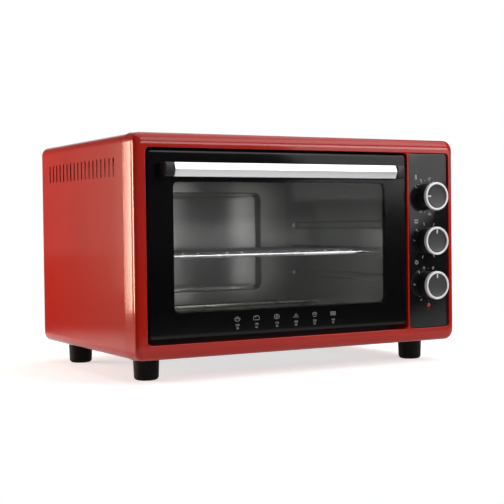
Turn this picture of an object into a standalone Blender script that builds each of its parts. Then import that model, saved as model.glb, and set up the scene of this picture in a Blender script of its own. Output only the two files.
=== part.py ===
"""Tabletop electric oven with a drop-down glass door and three knobs.

Metres, +Z up. The origin is the centre of the footprint on the floor, the front looks along -Y.
"""

import bpy
import bmesh
import math
from mathutils import Matrix, Vector

# Overall sizes
BODY_WIDTH = 0.520
BODY_HEIGHT = 0.299
BODY_DEPTH = 0.359
FOOT_HEIGHT = 0.030
HANDLE_REACH = 0.020

# Clearances and sheet gauges
GAP = 0.0003
FREE_GAP = 0.001
OVERRUN = 0.002
SHEET = 0.0008
MELT = 0.000002

# Front frame
FRAME_DEPTH = 0.033
FRAME_WALL = 0.0015
FRAME_CORNER_RADIUS = 0.014
FRAME_EDGE_RADIUS = 0.011
LEFT_FACE = 0.0173
RIGHT_FACE = 0.0123
TOP_FACE = 0.021
BOTTOM_FACE = 0.0213
PANEL_WIDTH = 0.0723
MULLION_WIDTH = 0.003
OPENING_CORNER_RADIUS = 0.006
RECESS_DEPTH = 0.025

# Outer cover
COVER_INSET = 0.001
COVER_EDGE_RADIUS = 0.009
COVER_RIM = 0.018
VENT_COUNT = 18
VENT_FIRST = 0.068
VENT_BACK_MARGIN = 0.043
VENT_WIDTH = 0.005
VENT_HEIGHT = 0.026
VENT_DROP = 0.044
HATCH_SIDE_MARGIN = 0.081
HATCH_MARGIN = 0.100
BASE_LAP = 0.012
BASE_VENT_COUNT = 9
BASE_VENT_MARGIN = 0.035
BASE_VENT_WIDTH = 0.006
BASE_VENT_LENGTH = 0.060

# Front plate and back panel
PLATE_SHEET = 0.001
PLATE_RIM = 0.012
BACK_CORNER_RADIUS = 0.005
BACK_VENT_COUNT = 14
BACK_VENT_MARGIN = 0.117
BACK_VENT_WIDTH = 0.005
BACK_VENT_HEIGHT = 0.040
BACK_VENT_TOP_MARGIN = 0.035
PARTITION_GAP = 0.014

# Cavity
CAVITY_LEFT_INSET = 0.0177
CAVITY_RIGHT_INSET = 0.0204
CAVITY_RISE = 0.033
CAVITY_DROP = 0.037
CAVITY_BACK_SPACE = 0.047
CAVITY_LAP = 0.0062
GROOVE_COUNT = 3
GROOVE_PITCH = 0.039
GROOVE_RISE = 0.102
GROOVE_HALF_MOUTH = 0.006
GROOVE_HALF_FLOOR = 0.004
GROOVE_DEPTH = 0.005
BULGE_DEPTH = 0.026
BULGE_STEP = 0.008
BULGE_DRAFT = 0.006
BULGE_SIDE_MARGIN = 0.047
BULGE_RISE = 0.035
BULGE_DROP = 0.033
BULGE_COLUMNS = 12

# Wire rack
RACK_FRONT = 0.040
RACK_BACK_PLAY = 0.014
RACK_WIRE_RADIUS = 0.0025
RACK_CORNER_RADIUS = 0.036
RACK_SIDE_PLAY = 0.0008
BAR_COUNT = 13
BAR_MARGIN = 0.0542
BAR_RADIUS = 0.0018
BAR_SINK = 0.0008

# Heating elements
ROD_RADIUS = 0.00325
ROD_FRONT = 0.128
ROD_SPREAD = 0.105
ROD_BEND_INSET = 0.065
ROD_TAIL = 0.014
LOWER_ROD_HEIGHT = 0.0185
UPPER_ROD_DROP = 0.016
ROD_HOLE_PLAY = 0.0006
FLANGE_RADIUS = 0.0075
FLANGE_THICKNESS = 0.002
CLIP_THICKNESS = 0.002
CLIP_WIDTH = 0.010
CLIP_INSET = 0.075

# Door
DOOR_GAP_LEFT = 0.0035
DOOR_GAP_RIGHT = 0.0025
DOOR_GAP_TOP = 0.0036
DOOR_GAP_BOTTOM = 0.0073
GLASS_SETBACK = 0.002
GLASS_THICKNESS = 0.004
GLASS_CORNER_RADIUS = 0.005
GLASS_EDGE = 0.0015
DOOR_BACK = 0.022
DOOR_FRAME_INSET = 0.0015
DOOR_SHEET = 0.001
WINDOW_LEFT = 0.027
WINDOW_RIGHT = 0.027
WINDOW_TOP = 0.0404
WINDOW_BOTTOM = 0.0334
WINDOW_CORNER_RADIUS = 0.008
REBATE = 0.005
INNER_GLASS = 0.003
RETAINER_WIDTH = 0.0045

# Handle
BAR_INSET = 0.02955
BAR_HEIGHT = 0.0187
BAR_DEPTH = 0.009
BAR_FACET = 0.004
HANDLE_DROP = 0.0255
BRACKET_WIDTH = 0.0145
BRACKET_SETBACK = 0.001
BRACKET_EDGE = 0.0015

# Door hinge
HINGE_BACK = 0.012
HINGE_RISE = 0.0084
PIN_RADIUS = 0.0025
PIN_HEAD_RADIUS = 0.004
PIN_HEAD = 0.002
PIN_LENGTH = 0.0195
BRACKET_EAR = 0.0025
BRACKET_FOOT = 0.0015
BRACKET_FOOT_WIDTH = 0.0095
BRACKET_HALF_HEIGHT = 0.010
BRACKET_NOSE = 0.007
SPRING_WIRE = 0.0006
SPRING_RADIUS = 0.0038
SPRING_PITCH = 0.0015
SPRING_TURNS = 4
STAY_RADIUS = 0.050
STAY_HALF_WIDTH = 0.004
STAY_SHEET = 0.0015
STAY_OFFSET = 0.0033
STAY_START_DEG = 76.0
STAY_END_DEG = -24.0
STAY_HOOK_DEG = -20.5
STAY_HOOK_HALF_WIDTH = 0.007
STAY_TAB_WIDTH = 0.008
STAY_TAB_BOTTOM = 0.040
STAY_TAB_TOP = 0.058
STAY_SLOT_PLAY = 0.0012

# Control panel and knobs
PANEL_SETBACK = 0.0025
PANEL_THICKNESS = 0.0025
PANEL_BEVEL = 0.001
KNOB_PITCH = 0.065
KNOB_RADIUS = 0.0196
KNOB_HEIGHT = 0.0225
KNOB_LIFT = 0.0006
KNOB_WALL = 0.002
KNOB_HUB_RADIUS = 0.006
KNOB_CROWN = 0.0055
RING_RADIUS = 0.0205
RING_INNER_RADIUS = 0.0172
RING_EDGE = 0.0012
SHAFT_RADIUS = 0.003
SHAFT_FLAT = 0.0018
SHAFT_ENGAGE = 0.012
SHAFT_SEAT = 0.006
CONTROL_SHEET = 0.001
CONTROL_SETBACK = 0.012
CONTROL_RISE = 0.052
CONTROL_DROP = 0.033
CONTROL_APERTURE_MARGIN = 0.006
SWITCH_WIDTH = 0.044
SWITCH_HEIGHT = 0.040
SWITCH_DEPTH = 0.032
TIMER_RADIUS = 0.024
SWITCH_EDGE = 0.002
PANEL_HOLE_RADIUS = 0.005
LAMP_DROP = 0.095
LENS_RADIUS = 0.003
LENS_RISE = 0.0012
LENS_CROWN_SHARE = 0.7
LAMP_RADIUS = 0.0045
LAMP_LENGTH = 0.018

# Feet and screws
FOOT_INSET_X = 0.041
FOOT_INSET_FRONT = 0.0603
FOOT_INSET_BACK = 0.0547
FOOT_RADIUS = 0.01775
FOOT_TOE_RADIUS = 0.0125
FOOT_SOLE_DROP = 0.0065
FOOT_WAIST_RADIUS = 0.0168
FOOT_WELL_RADIUS = 0.0055
FOOT_WELL_DEPTH = 0.020
SCREW_RADIUS = 0.0018
SCREW_HEAD_RADIUS = 0.0035
SCREW_HEAD = 0.0016
SCREW_CROWN = 0.001
SCREW_LENGTH = 0.008

# Wiring side
GLAND_INSET = 0.045
GLAND_RISE = 0.055
GLAND_RADIUS = 0.008
GLAND_FLANGE_RADIUS = 0.011
GLAND_FLANGE = 0.003
GLAND_BORE = 0.0036
GLAND_TAIL = 0.012
BLOCK_WIDTH = 0.042
BLOCK_DEPTH = 0.022
BLOCK_HEIGHT = 0.018
BLOCK_BACK = 0.070
BULB_RADIUS = 0.003
BULB_LENGTH = 0.090
BULB_BACK = 0.060
BULB_OFFSET = 0.009
BULB_DROP = 0.0065
BULB_CLIP_HALF = 0.0045
CAPILLARY_RADIUS = 0.001
CAPILLARY_ENTRY = 0.046
WIRE_RADIUS = 0.0022
WIRE_DROP = 0.012
TRUNK_RADIUS = 0.003
TRUNK_BEHIND = 0.016

# Derived places
RIGHT = BODY_WIDTH / 2
LEFT = -RIGHT
FRONT = (HANDLE_REACH - BODY_DEPTH - GLAND_FLANGE + SHEET) / 2
REAR = FRONT + BODY_DEPTH
BOTTOM = FOOT_HEIGHT
TOP = BOTTOM + BODY_HEIGHT
DOOR_OPEN_LEFT = LEFT + LEFT_FACE
PANEL_OPEN_RIGHT = RIGHT - RIGHT_FACE
PANEL_OPEN_LEFT = PANEL_OPEN_RIGHT - PANEL_WIDTH
DOOR_OPEN_RIGHT = PANEL_OPEN_LEFT - MULLION_WIDTH
OPEN_BOTTOM = BOTTOM + BOTTOM_FACE
OPEN_TOP = TOP - TOP_FACE
PLATE_FRONT = FRONT + RECESS_DEPTH
PLATE_BACK = PLATE_FRONT + PLATE_SHEET
COVER_FRONT = FRONT + FRAME_DEPTH + GAP
COVER_RIGHT = RIGHT - COVER_INSET
COVER_BOTTOM = BOTTOM + COVER_INSET
COVER_TOP = TOP - COVER_INSET
COVER_CORNER_RADIUS = FRAME_CORNER_RADIUS - COVER_INSET
INNER_RIGHT = COVER_RIGHT - SHEET
INNER_BOTTOM = COVER_BOTTOM + SHEET
INNER_TOP = COVER_TOP - SHEET
BACK_PANEL_BACK = REAR - SHEET - GAP
BACK_PANEL_FRONT = BACK_PANEL_BACK - SHEET
HATCH_HALF_WIDTH = RIGHT - HATCH_SIDE_MARGIN
CAVITY_LEFT = DOOR_OPEN_LEFT + CAVITY_LEFT_INSET
CAVITY_RIGHT = DOOR_OPEN_RIGHT - CAVITY_RIGHT_INSET
CAVITY_FLOOR = BOTTOM + CAVITY_RISE
CAVITY_CEILING = TOP - CAVITY_DROP
CAVITY_MID = (CAVITY_LEFT + CAVITY_RIGHT) / 2
CAVITY_START = PLATE_BACK + GAP
CAVITY_END = REAR - CAVITY_BACK_SPACE
PARTITION_X = CAVITY_RIGHT + PARTITION_GAP
GROOVE_MIDDLE = CAVITY_FLOOR + GROOVE_RISE
BULGE_HALF_WIDTH = (CAVITY_RIGHT - CAVITY_LEFT) / 2 - BULGE_SIDE_MARGIN
BULGE_BOTTOM = CAVITY_FLOOR + BULGE_RISE
BULGE_TOP = CAVITY_CEILING - BULGE_DROP
LEFT_WALL_OUT = CAVITY_LEFT - GROOVE_DEPTH - SHEET
RIGHT_WALL_OUT = CAVITY_RIGHT + GROOVE_DEPTH + SHEET
LOWER_ROD_Z = CAVITY_FLOOR + LOWER_ROD_HEIGHT
UPPER_ROD_Z = CAVITY_CEILING - UPPER_ROD_DROP
ROD_REACH = CAVITY_LEFT + ROD_BEND_INSET
ROD_END = PARTITION_X + ROD_TAIL
CLIP_X = CAVITY_LEFT + CLIP_INSET
ROD_Y1 = FRONT + ROD_FRONT
ROD_Y2 = ROD_Y1 + ROD_SPREAD
DOOR_LEFT = DOOR_OPEN_LEFT + DOOR_GAP_LEFT
DOOR_RIGHT = DOOR_OPEN_RIGHT - DOOR_GAP_RIGHT
DOOR_BOTTOM = OPEN_BOTTOM + DOOR_GAP_BOTTOM
DOOR_TOP = OPEN_TOP - DOOR_GAP_TOP
DOOR_MID = (DOOR_LEFT + DOOR_RIGHT) / 2
BAR_LENGTH = DOOR_RIGHT - DOOR_LEFT - BAR_INSET * 2
GLASS_FRONT = FRONT + GLASS_SETBACK
GLASS_BACK = GLASS_FRONT + GLASS_THICKNESS
DOOR_FRAME_FRONT = GLASS_BACK + GAP
DOOR_FRAME_BACK = FRONT + DOOR_BACK
PANE_LEFT = DOOR_LEFT + WINDOW_LEFT
PANE_RIGHT = DOOR_RIGHT - WINDOW_RIGHT
PANE_BOTTOM = DOOR_BOTTOM + WINDOW_BOTTOM
PANE_TOP = DOOR_TOP - WINDOW_TOP
HINGE_Y = FRONT + HINGE_BACK
HINGE_Z = DOOR_BOTTOM + HINGE_RISE
HANDLE_Z = DOOR_TOP - HANDLE_DROP
HANDLE_FRONT = FRONT - HANDLE_REACH
PANEL_FRONT = FRONT + PANEL_SETBACK
PANEL_BACK = PANEL_FRONT + PANEL_THICKNESS
PANEL_MID = (PANEL_OPEN_LEFT + PANEL_OPEN_RIGHT) / 2
KNOB_MID = BOTTOM + BODY_HEIGHT / 2
CONTROL_BOTTOM = BOTTOM + CONTROL_RISE
CONTROL_TOP = TOP - CONTROL_DROP
CONTROL_FRONT = FRONT + CONTROL_SETBACK
CONTROL_BACK = CONTROL_FRONT + CONTROL_SHEET
SWITCH_FRONT = CONTROL_BACK + GAP
LAMP_Z = KNOB_MID - LAMP_DROP
GLAND_X = RIGHT - GLAND_INSET
GLAND_Z = BOTTOM + GLAND_RISE
FOOT_X = RIGHT - FOOT_INSET_X
FOOT_Y1 = FRONT + FOOT_INSET_FRONT
FOOT_Y2 = REAR - FOOT_INSET_BACK
RACK_LEFT = CAVITY_LEFT - GROOVE_DEPTH + RACK_SIDE_PLAY + RACK_WIRE_RADIUS
RACK_RIGHT = CAVITY_RIGHT + GROOVE_DEPTH - RACK_SIDE_PLAY - RACK_WIRE_RADIUS
RACK_Y1 = FRONT + RACK_FRONT
RACK_Y2 = CAVITY_END - RACK_BACK_PLAY
BAR_PITCH = (RACK_RIGHT - RACK_LEFT - BAR_MARGIN * 2) / (BAR_COUNT - 1)
RACK_Z = GROOVE_MIDDLE - GROOVE_HALF_FLOOR + RACK_WIRE_RADIUS + GAP

KNOB_NAMES = ("thermostat", "selector", "timer")
MINUS_Y_UP = Matrix.Rotation(math.radians(90), 4, "X")
PLUS_Y_UP = Matrix.Rotation(math.radians(-90), 4, "X")
MINUS_X_UP = Matrix.Rotation(math.radians(-90), 4, "Y")
PLUS_X_UP = Matrix.Rotation(math.radians(90), 4, "Y")


def clear_scene():
    for item in list(bpy.data.objects):
        bpy.data.objects.remove(item, do_unlink=True)


def new_collection(name):
    group = bpy.data.collections.new(name)
    bpy.context.scene.collection.children.link(group)
    return group


def finish(name, color, roughness, metallic, alpha=1.0):
    """A Principled material of one colour."""
    material = bpy.data.materials.new(name)
    material.use_nodes = True
    shader = material.node_tree.nodes["Principled BSDF"]
    shader.inputs["Base Color"].default_value = (*color, 1.0)
    shader.inputs["Roughness"].default_value = roughness
    shader.inputs["Metallic"].default_value = metallic
    shader.inputs["Alpha"].default_value = alpha
    return material


def set_down(bm, name, group, parent=None, material=None):
    """Turns a bmesh in world coordinates into an object whose origin is the middle of its bounds."""
    points = [vert.co for vert in bm.verts]
    low = Vector(min(p[i] for p in points) for i in range(3))
    high = Vector(max(p[i] for p in points) for i in range(3))
    middle = (low + high) / 2
    bmesh.ops.translate(bm, verts=bm.verts, vec=-middle)
    mesh = bpy.data.meshes.new(name)
    bm.to_mesh(mesh)
    bm.free()
    item = bpy.data.objects.new(name, mesh)
    group.objects.link(item)
    item.location = middle
    if parent:
        item.parent = parent
        item.location = middle - parent.location
    if material:
        mesh.materials.append(material)
    return item


def part(bm, name, material, parent=None, smooth_deg=None):
    item = set_down(bm, name, parts, parent, material)
    if smooth_deg:
        item.data.shade_smooth()
        item.data.set_sharp_from_angle(angle=math.radians(smooth_deg))
    return item


def cutter(bm, name):
    item = set_down(bm, name, cutters)
    item.hide_render = True
    item.display_type = "WIRE"
    return item


def boolean(item, other, operation="DIFFERENCE"):
    modifier = item.modifiers.new(operation.lower(), "BOOLEAN")
    modifier.operation = operation
    modifier.object = other
    modifier.solver = "EXACT"
    return item


def empty_at(name, place):
    item = bpy.data.objects.new(name, None)
    item.location = place
    parts.objects.link(item)
    bpy.context.view_layer.update()
    return item


def add_box(bm, x, y, z):
    """Adds a box that spans x, y and z, each a pair."""
    made = bmesh.ops.create_cube(bm, size=1.0)["verts"]
    size = Vector((x[1] - x[0], y[1] - y[0], z[1] - z[0]))
    middle = Vector((x[0] + x[1], y[0] + y[1], z[0] + z[1])) / 2
    bmesh.ops.scale(bm, verts=made, vec=size)
    bmesh.ops.translate(bm, verts=made, vec=middle)
    return made


def box(x, y, z):
    bm = bmesh.new()
    add_box(bm, x, y, z)
    return bm


def boxes(spans):
    bm = bmesh.new()
    for x, y, z in spans:
        add_box(bm, x, y, z)
    return bm


def bevel(bm, edges, width, steps):
    bmesh.ops.bevel(
        bm, geom=edges, offset=width, offset_type="OFFSET", segments=steps,
        profile=0.5, affect="EDGES", clamp_overlap=False,
    )


def rounded_box(x, y, z, corner, edge=0, edge_y=None, steps=4):
    """A box with its four edges along Y rounded, and the rim of its face at edge_y too."""
    bm = box(x, y, z)
    if corner:
        along = [e for e in bm.edges if abs(e.verts[0].co.y - e.verts[1].co.y) > MELT]
        bevel(bm, along, corner, steps)
    if edge:
        rim = [e for e in bm.edges if all(abs(v.co.y - edge_y) < MELT for v in e.verts)]
        bevel(bm, rim, edge, steps)
    return bm


def add_cylinder(bm, place, radius, length, turn, sides=16):
    """Adds a cylinder that starts at place and runs along turn's Z axis."""
    spot = Matrix.Translation(place) @ turn @ Matrix.Translation((0, 0, length / 2))
    bmesh.ops.create_cone(
        bm, cap_ends=True, segments=sides, radius1=radius, radius2=radius, depth=length, matrix=spot,
    )


def cylinders(rows, turn, sides=16):
    """One bmesh of several cylinders, each given as place, radius and length."""
    bm = bmesh.new()
    for place, radius, length in rows:
        add_cylinder(bm, place, radius, length, turn, sides)
    return bm


def turned(outline, steps=24):
    """The solid that an outline of (radius, height) points makes when it turns about Z."""
    mesh = bpy.data.meshes.new("outline")
    count = len(outline)
    on_axis = outline[0][0] == 0
    edges = [(i, i + 1) for i in range(count - 1)]
    if not on_axis:
        edges.append((count - 1, 0))
    mesh.from_pydata([(r, 0, h) for r, h in outline], edges, [])
    item = bpy.data.objects.new("outline", mesh)
    cutters.objects.link(item)
    screw = item.modifiers.new("turn", "SCREW")
    screw.steps = steps
    screw.render_steps = steps
    screw.use_merge_vertices = True
    screw.merge_threshold = MELT
    bpy.context.view_layer.update()
    shape = bpy.data.meshes.new_from_object(item.evaluated_get(bpy.context.evaluated_depsgraph_get()))
    bm = bmesh.new()
    bm.from_mesh(shape)
    bmesh.ops.remove_doubles(bm, verts=bm.verts, dist=MELT)
    bmesh.ops.recalc_face_normals(bm, faces=bm.faces)
    bpy.data.objects.remove(item, do_unlink=True)
    bpy.data.meshes.remove(shape)
    return bm


def moved(bm, spot):
    bmesh.ops.transform(bm, matrix=spot, verts=bm.verts)
    return bm


def tube(points, radius, closed=False, fine=2, radii=None):
    """A bmesh of the tube that a poly curve with a round bevel makes."""
    curve = bpy.data.curves.new("route", "CURVE")
    curve.dimensions = "3D"
    curve.bevel_depth = radius
    curve.bevel_resolution = fine
    curve.use_fill_caps = True
    spline = curve.splines.new("POLY")
    spline.points.add(len(points) - 1)
    for index, point in enumerate(points):
        spline.points[index].co = (*point, 1)
        spline.points[index].radius = radii[index] if radii else 1
    spline.use_cyclic_u = closed
    item = bpy.data.objects.new("route", curve)
    cutters.objects.link(item)
    bpy.context.view_layer.update()
    shape = bpy.data.meshes.new_from_object(item.evaluated_get(bpy.context.evaluated_depsgraph_get()))
    bm = bmesh.new()
    bm.from_mesh(shape)
    bmesh.ops.remove_doubles(bm, verts=bm.verts, dist=MELT)
    bmesh.ops.recalc_face_normals(bm, faces=bm.faces)
    bpy.data.objects.remove(item, do_unlink=True)
    bpy.data.meshes.remove(shape)
    return bm


def arc(middle, radius, start_deg, end_deg, steps, plane="XY"):
    """Points on an arc about middle, in the plane named."""
    points = []
    for step in range(steps + 1):
        angle = math.radians(start_deg + (end_deg - start_deg) * step / steps)
        a = radius * math.cos(angle)
        b = radius * math.sin(angle)
        offset = {"XY": (a, b, 0), "YZ": (0, a, b)}[plane]
        points.append(Vector(middle) + Vector(offset))
    return points


def prism(outline, direction):
    """A closed flat outline pushed along a direction."""
    bm = bmesh.new()
    face = bm.faces.new([bm.verts.new(point) for point in outline])
    made = bmesh.ops.extrude_face_region(bm, geom=[face])["geom"]
    moved = [v for v in made if isinstance(v, bmesh.types.BMVert)]
    bmesh.ops.translate(bm, verts=moved, vec=direction)
    bmesh.ops.recalc_face_normals(bm, faces=bm.faces)
    return bm


def front_frame():
    """Rounded red surround, open at the back, with lips around the door and the control panel."""
    x = (LEFT, RIGHT)
    y = (FRONT, FRONT + FRAME_DEPTH)
    z = (BOTTOM, TOP)
    bm = rounded_box(x, y, z, FRAME_CORNER_RADIUS, FRAME_EDGE_RADIUS, FRONT, 5)
    item = part(bm, "front_frame", red, smooth_deg=40)
    wall = FRAME_WALL
    bm = rounded_box(
        (LEFT + wall, RIGHT - wall), (FRONT + wall, y[1] + OVERRUN), (BOTTOM + wall, TOP - wall),
        FRAME_CORNER_RADIUS - wall, FRAME_EDGE_RADIUS - wall, FRONT + wall, 5,
    )
    pocket = cutter(bm, "frame_pocket")
    lip_y = (FRONT - OVERRUN, PLATE_FRONT - GAP)
    bm = rounded_box(
        (DOOR_OPEN_LEFT - wall, PANEL_OPEN_RIGHT + wall), lip_y, (OPEN_BOTTOM - wall, OPEN_TOP + wall),
        OPENING_CORNER_RADIUS + wall,
    )
    boolean(pocket, cutter(bm, "frame_lips"))
    boolean(item, pocket)
    for name, low, high in (
        ("door_opening", DOOR_OPEN_LEFT, DOOR_OPEN_RIGHT),
        ("panel_opening", PANEL_OPEN_LEFT, PANEL_OPEN_RIGHT),
    ):
        bm = rounded_box(
            (low, high), (FRONT - OVERRUN, y[1]), (OPEN_BOTTOM, OPEN_TOP), OPENING_CORNER_RADIUS,
        )
        boolean(item, cutter(bm, name))
    rows = [((LEFT + FRAME_WALL + OVERRUN, HINGE_Y, HINGE_Z), PIN_RADIUS + FREE_GAP, LEFT_FACE)]
    rows.append(((DOOR_OPEN_RIGHT - OVERRUN, HINGE_Y, HINGE_Z), PIN_RADIUS + FREE_GAP, PIN_LENGTH))
    boolean(item, cutter(cylinders(rows, PLUS_X_UP, 16), "frame_pin_holes"))


def outer_cover():
    """Painted sheet wrapped round the top, sides and underside, with its back edge turned in."""
    x = (-COVER_RIGHT, COVER_RIGHT)
    z = (COVER_BOTTOM, COVER_TOP)
    bm = rounded_box(x, (COVER_FRONT, REAR), z, COVER_CORNER_RADIUS, COVER_EDGE_RADIUS, REAR, 4)
    item = part(bm, "outer_cover", red, smooth_deg=40)
    bm = rounded_box(
        (-INNER_RIGHT, INNER_RIGHT), (COVER_FRONT - OVERRUN, REAR - SHEET), (INNER_BOTTOM, INNER_TOP),
        COVER_CORNER_RADIUS - SHEET, COVER_EDGE_RADIUS - SHEET, REAR - SHEET, 4,
    )
    boolean(item, cutter(bm, "cover_inside"))
    spans = [
        (
            (-COVER_RIGHT + COVER_RIM, COVER_RIGHT - COVER_RIM),
            (REAR - SHEET - OVERRUN, REAR + OVERRUN),
            (COVER_BOTTOM + COVER_RIM, COVER_TOP - COVER_RIM),
        ),
        (
            (-HATCH_HALF_WIDTH, HATCH_HALF_WIDTH),
            (FRONT + HATCH_MARGIN, REAR - HATCH_MARGIN),
            (COVER_BOTTOM - OVERRUN, INNER_BOTTOM + OVERRUN),
        ),
    ]
    pitch = (BODY_DEPTH - VENT_BACK_MARGIN - VENT_FIRST) / (VENT_COUNT - 1)
    vent_z = (TOP - VENT_DROP - VENT_HEIGHT / 2, TOP - VENT_DROP + VENT_HEIGHT / 2)
    for side in (-1, 1):
        ends = sorted((side * (INNER_RIGHT - OVERRUN), side * (COVER_RIGHT + OVERRUN)))
        for index in range(VENT_COUNT):
            y = FRONT + VENT_FIRST + pitch * index
            spans.append((ends, (y - VENT_WIDTH / 2, y + VENT_WIDTH / 2), vent_z))
    boolean(item, cutter(boxes(spans), "cover_openings"))
    start = COVER_BOTTOM - OVERRUN
    rows = [((px, py, start), SCREW_RADIUS + GAP, SHEET + OVERRUN * 2) for px, py in foot_places()]
    boolean(item, cutter(cylinders(rows, Matrix.Identity(4), 10), "cover_foot_holes"))


def foot_places():
    return [(sign * FOOT_X, y) for sign in (-1, 1) for y in (FOOT_Y1, FOOT_Y2)]


def base_plate():
    """Loose sheet that closes the hatch in the underside, with cooling slots."""
    lap = BASE_LAP
    x = (-HATCH_HALF_WIDTH - lap, HATCH_HALF_WIDTH + lap)
    y = (FRONT + HATCH_MARGIN - lap, REAR - HATCH_MARGIN + lap)
    low = INNER_BOTTOM + GAP
    item = part(box(x, y, (low, low + SHEET)), "base_plate", zinc)
    middle = (y[0] + y[1]) / 2
    spans = []
    pitch = (HATCH_HALF_WIDTH - BASE_VENT_MARGIN) * 2 / (BASE_VENT_COUNT - 1)
    for index in range(BASE_VENT_COUNT):
        vx = (index - (BASE_VENT_COUNT - 1) / 2) * pitch
        spans.append((
            (vx - BASE_VENT_WIDTH / 2, vx + BASE_VENT_WIDTH / 2),
            (middle - BASE_VENT_LENGTH / 2, middle + BASE_VENT_LENGTH / 2),
            (low - OVERRUN, low + SHEET + OVERRUN),
        ))
    boolean(item, cutter(boxes(spans), "base_vents"))


def back_panel():
    """Zinc sheet behind the turned-in rim of the cover, with a row of slots and the cord's hole."""
    side = INNER_RIGHT - COVER_EDGE_RADIUS - GAP
    low = INNER_BOTTOM + COVER_EDGE_RADIUS + GAP
    high = INNER_TOP - COVER_EDGE_RADIUS - GAP
    y = (BACK_PANEL_FRONT, BACK_PANEL_BACK)
    bm = rounded_box((-side, side), y, (low, high), BACK_CORNER_RADIUS)
    item = part(bm, "back_panel", zinc)
    vent_high = high - BACK_VENT_TOP_MARGIN
    deep = (y[0] - OVERRUN, y[1] + OVERRUN)
    spans = []
    pitch = (RIGHT - BACK_VENT_MARGIN) * 2 / (BACK_VENT_COUNT - 1)
    for index in range(BACK_VENT_COUNT):
        vx = (index - (BACK_VENT_COUNT - 1) / 2) * pitch
        across = (vx - BACK_VENT_WIDTH / 2, vx + BACK_VENT_WIDTH / 2)
        spans.append((across, deep, (vent_high - BACK_VENT_HEIGHT, vent_high)))
    boolean(item, cutter(boxes(spans), "back_vents"))
    row = ((GLAND_X, deep[0], GLAND_Z), GLAND_RADIUS + GAP, SHEET + OVERRUN * 2)
    boolean(item, cutter(cylinders([row], PLUS_Y_UP, 20), "gland_hole"))


def front_plate():
    """Steel pan behind the red surround: it carries the cavity, the hinges and the controls."""
    margin = GAP
    x = (-INNER_RIGHT + margin, INNER_RIGHT - margin)
    z = (INNER_BOTTOM + margin, INNER_TOP - margin)
    y = (PLATE_FRONT, PLATE_BACK + PLATE_RIM)
    radius = COVER_CORNER_RADIUS - SHEET - margin
    item = part(rounded_box(x, y, z, radius), "front_plate", steel)
    t = PLATE_SHEET
    bm = rounded_box(
        (x[0] + t, x[1] - t), (PLATE_BACK, y[1] + OVERRUN), (z[0] + t, z[1] - t), radius - t,
    )
    boolean(item, cutter(bm, "plate_pan"))
    deep = (PLATE_FRONT - OVERRUN, PLATE_BACK + OVERRUN)
    mouth = (CAVITY_LEFT - GROOVE_DEPTH, CAVITY_RIGHT + GROOVE_DEPTH)
    spans = [(mouth, deep, (CAVITY_FLOOR, CAVITY_CEILING))]
    bay = CONTROL_APERTURE_MARGIN
    spans.append((
        (PANEL_OPEN_LEFT + bay, PANEL_OPEN_RIGHT - bay), deep, (CONTROL_BOTTOM + bay, CONTROL_TOP - bay),
    ))
    low = HINGE_Z + STAY_RADIUS - STAY_HALF_WIDTH - STAY_SLOT_PLAY * 3
    high = HINGE_Z + STAY_RADIUS + STAY_HALF_WIDTH + STAY_SLOT_PLAY
    for x0, x1 in stay_spans():
        spans.append(((x0 - STAY_SLOT_PLAY, x1 + STAY_SLOT_PLAY), deep, (low, high)))
    boolean(item, cutter(boxes(spans), "plate_openings"))


def partition_wall():
    """Heat shield between the cavity and the compartment of the controls."""
    x = (PARTITION_X, PARTITION_X + SHEET)
    y = (PLATE_BACK + PLATE_RIM + GAP, BACK_PANEL_FRONT - GAP)
    reach = COVER_EDGE_RADIUS
    low = INNER_BOTTOM + SHEET + GAP * 2
    item = part(box(x, y, (low, INNER_TOP - GAP)), "partition_wall", zinc)
    spans = []
    for z in ((INNER_BOTTOM, INNER_BOTTOM + reach), (INNER_TOP - reach, INNER_TOP)):
        spans.append(((x[0] - OVERRUN, x[1] + OVERRUN), (REAR - SHEET - reach, REAR), z))
    boolean(item, cutter(boxes(spans), "partition_corners"))
    rows = [((x[0] - OVERRUN, py, pz), ROD_RADIUS + ROD_HOLE_PLAY, SHEET + OVERRUN * 2)
            for py in (ROD_Y1, ROD_Y2) for pz in (LOWER_ROD_Z, UPPER_ROD_Z)]
    rows.append((
        (x[0] - OVERRUN, FRONT + CAPILLARY_ENTRY, CAVITY_CEILING - BULB_DROP),
        CAPILLARY_RADIUS + FREE_GAP, SHEET + OVERRUN * 2,
    ))
    boolean(item, cutter(cylinders(rows, PLUS_X_UP, 12), "partition_holes"))


def side_wall(name, x, outward):
    """Pressed cavity side with a groove at each rack level."""
    outline = [(x, CAVITY_FLOOR + GAP)]
    for index in range(GROOVE_COUNT):
        level = GROOVE_MIDDLE + (index - (GROOVE_COUNT - 1) / 2) * GROOVE_PITCH
        deep = x + outward * GROOVE_DEPTH
        outline += [(x, level - GROOVE_HALF_MOUTH), (deep, level - GROOVE_HALF_FLOOR)]
        outline += [(deep, level + GROOVE_HALF_FLOOR), (x, level + GROOVE_HALF_MOUTH)]
    outline.append((x, CAVITY_CEILING - GAP))
    back = [(px + outward * SHEET, pz) for px, pz in reversed(outline)]
    ring = [Vector((px, CAVITY_START, pz)) for px, pz in outline + back]
    length = CAVITY_END - GAP - CAVITY_START
    item = part(prism(ring, Vector((0, length, 0))), name, cavity_steel)
    return item


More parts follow.
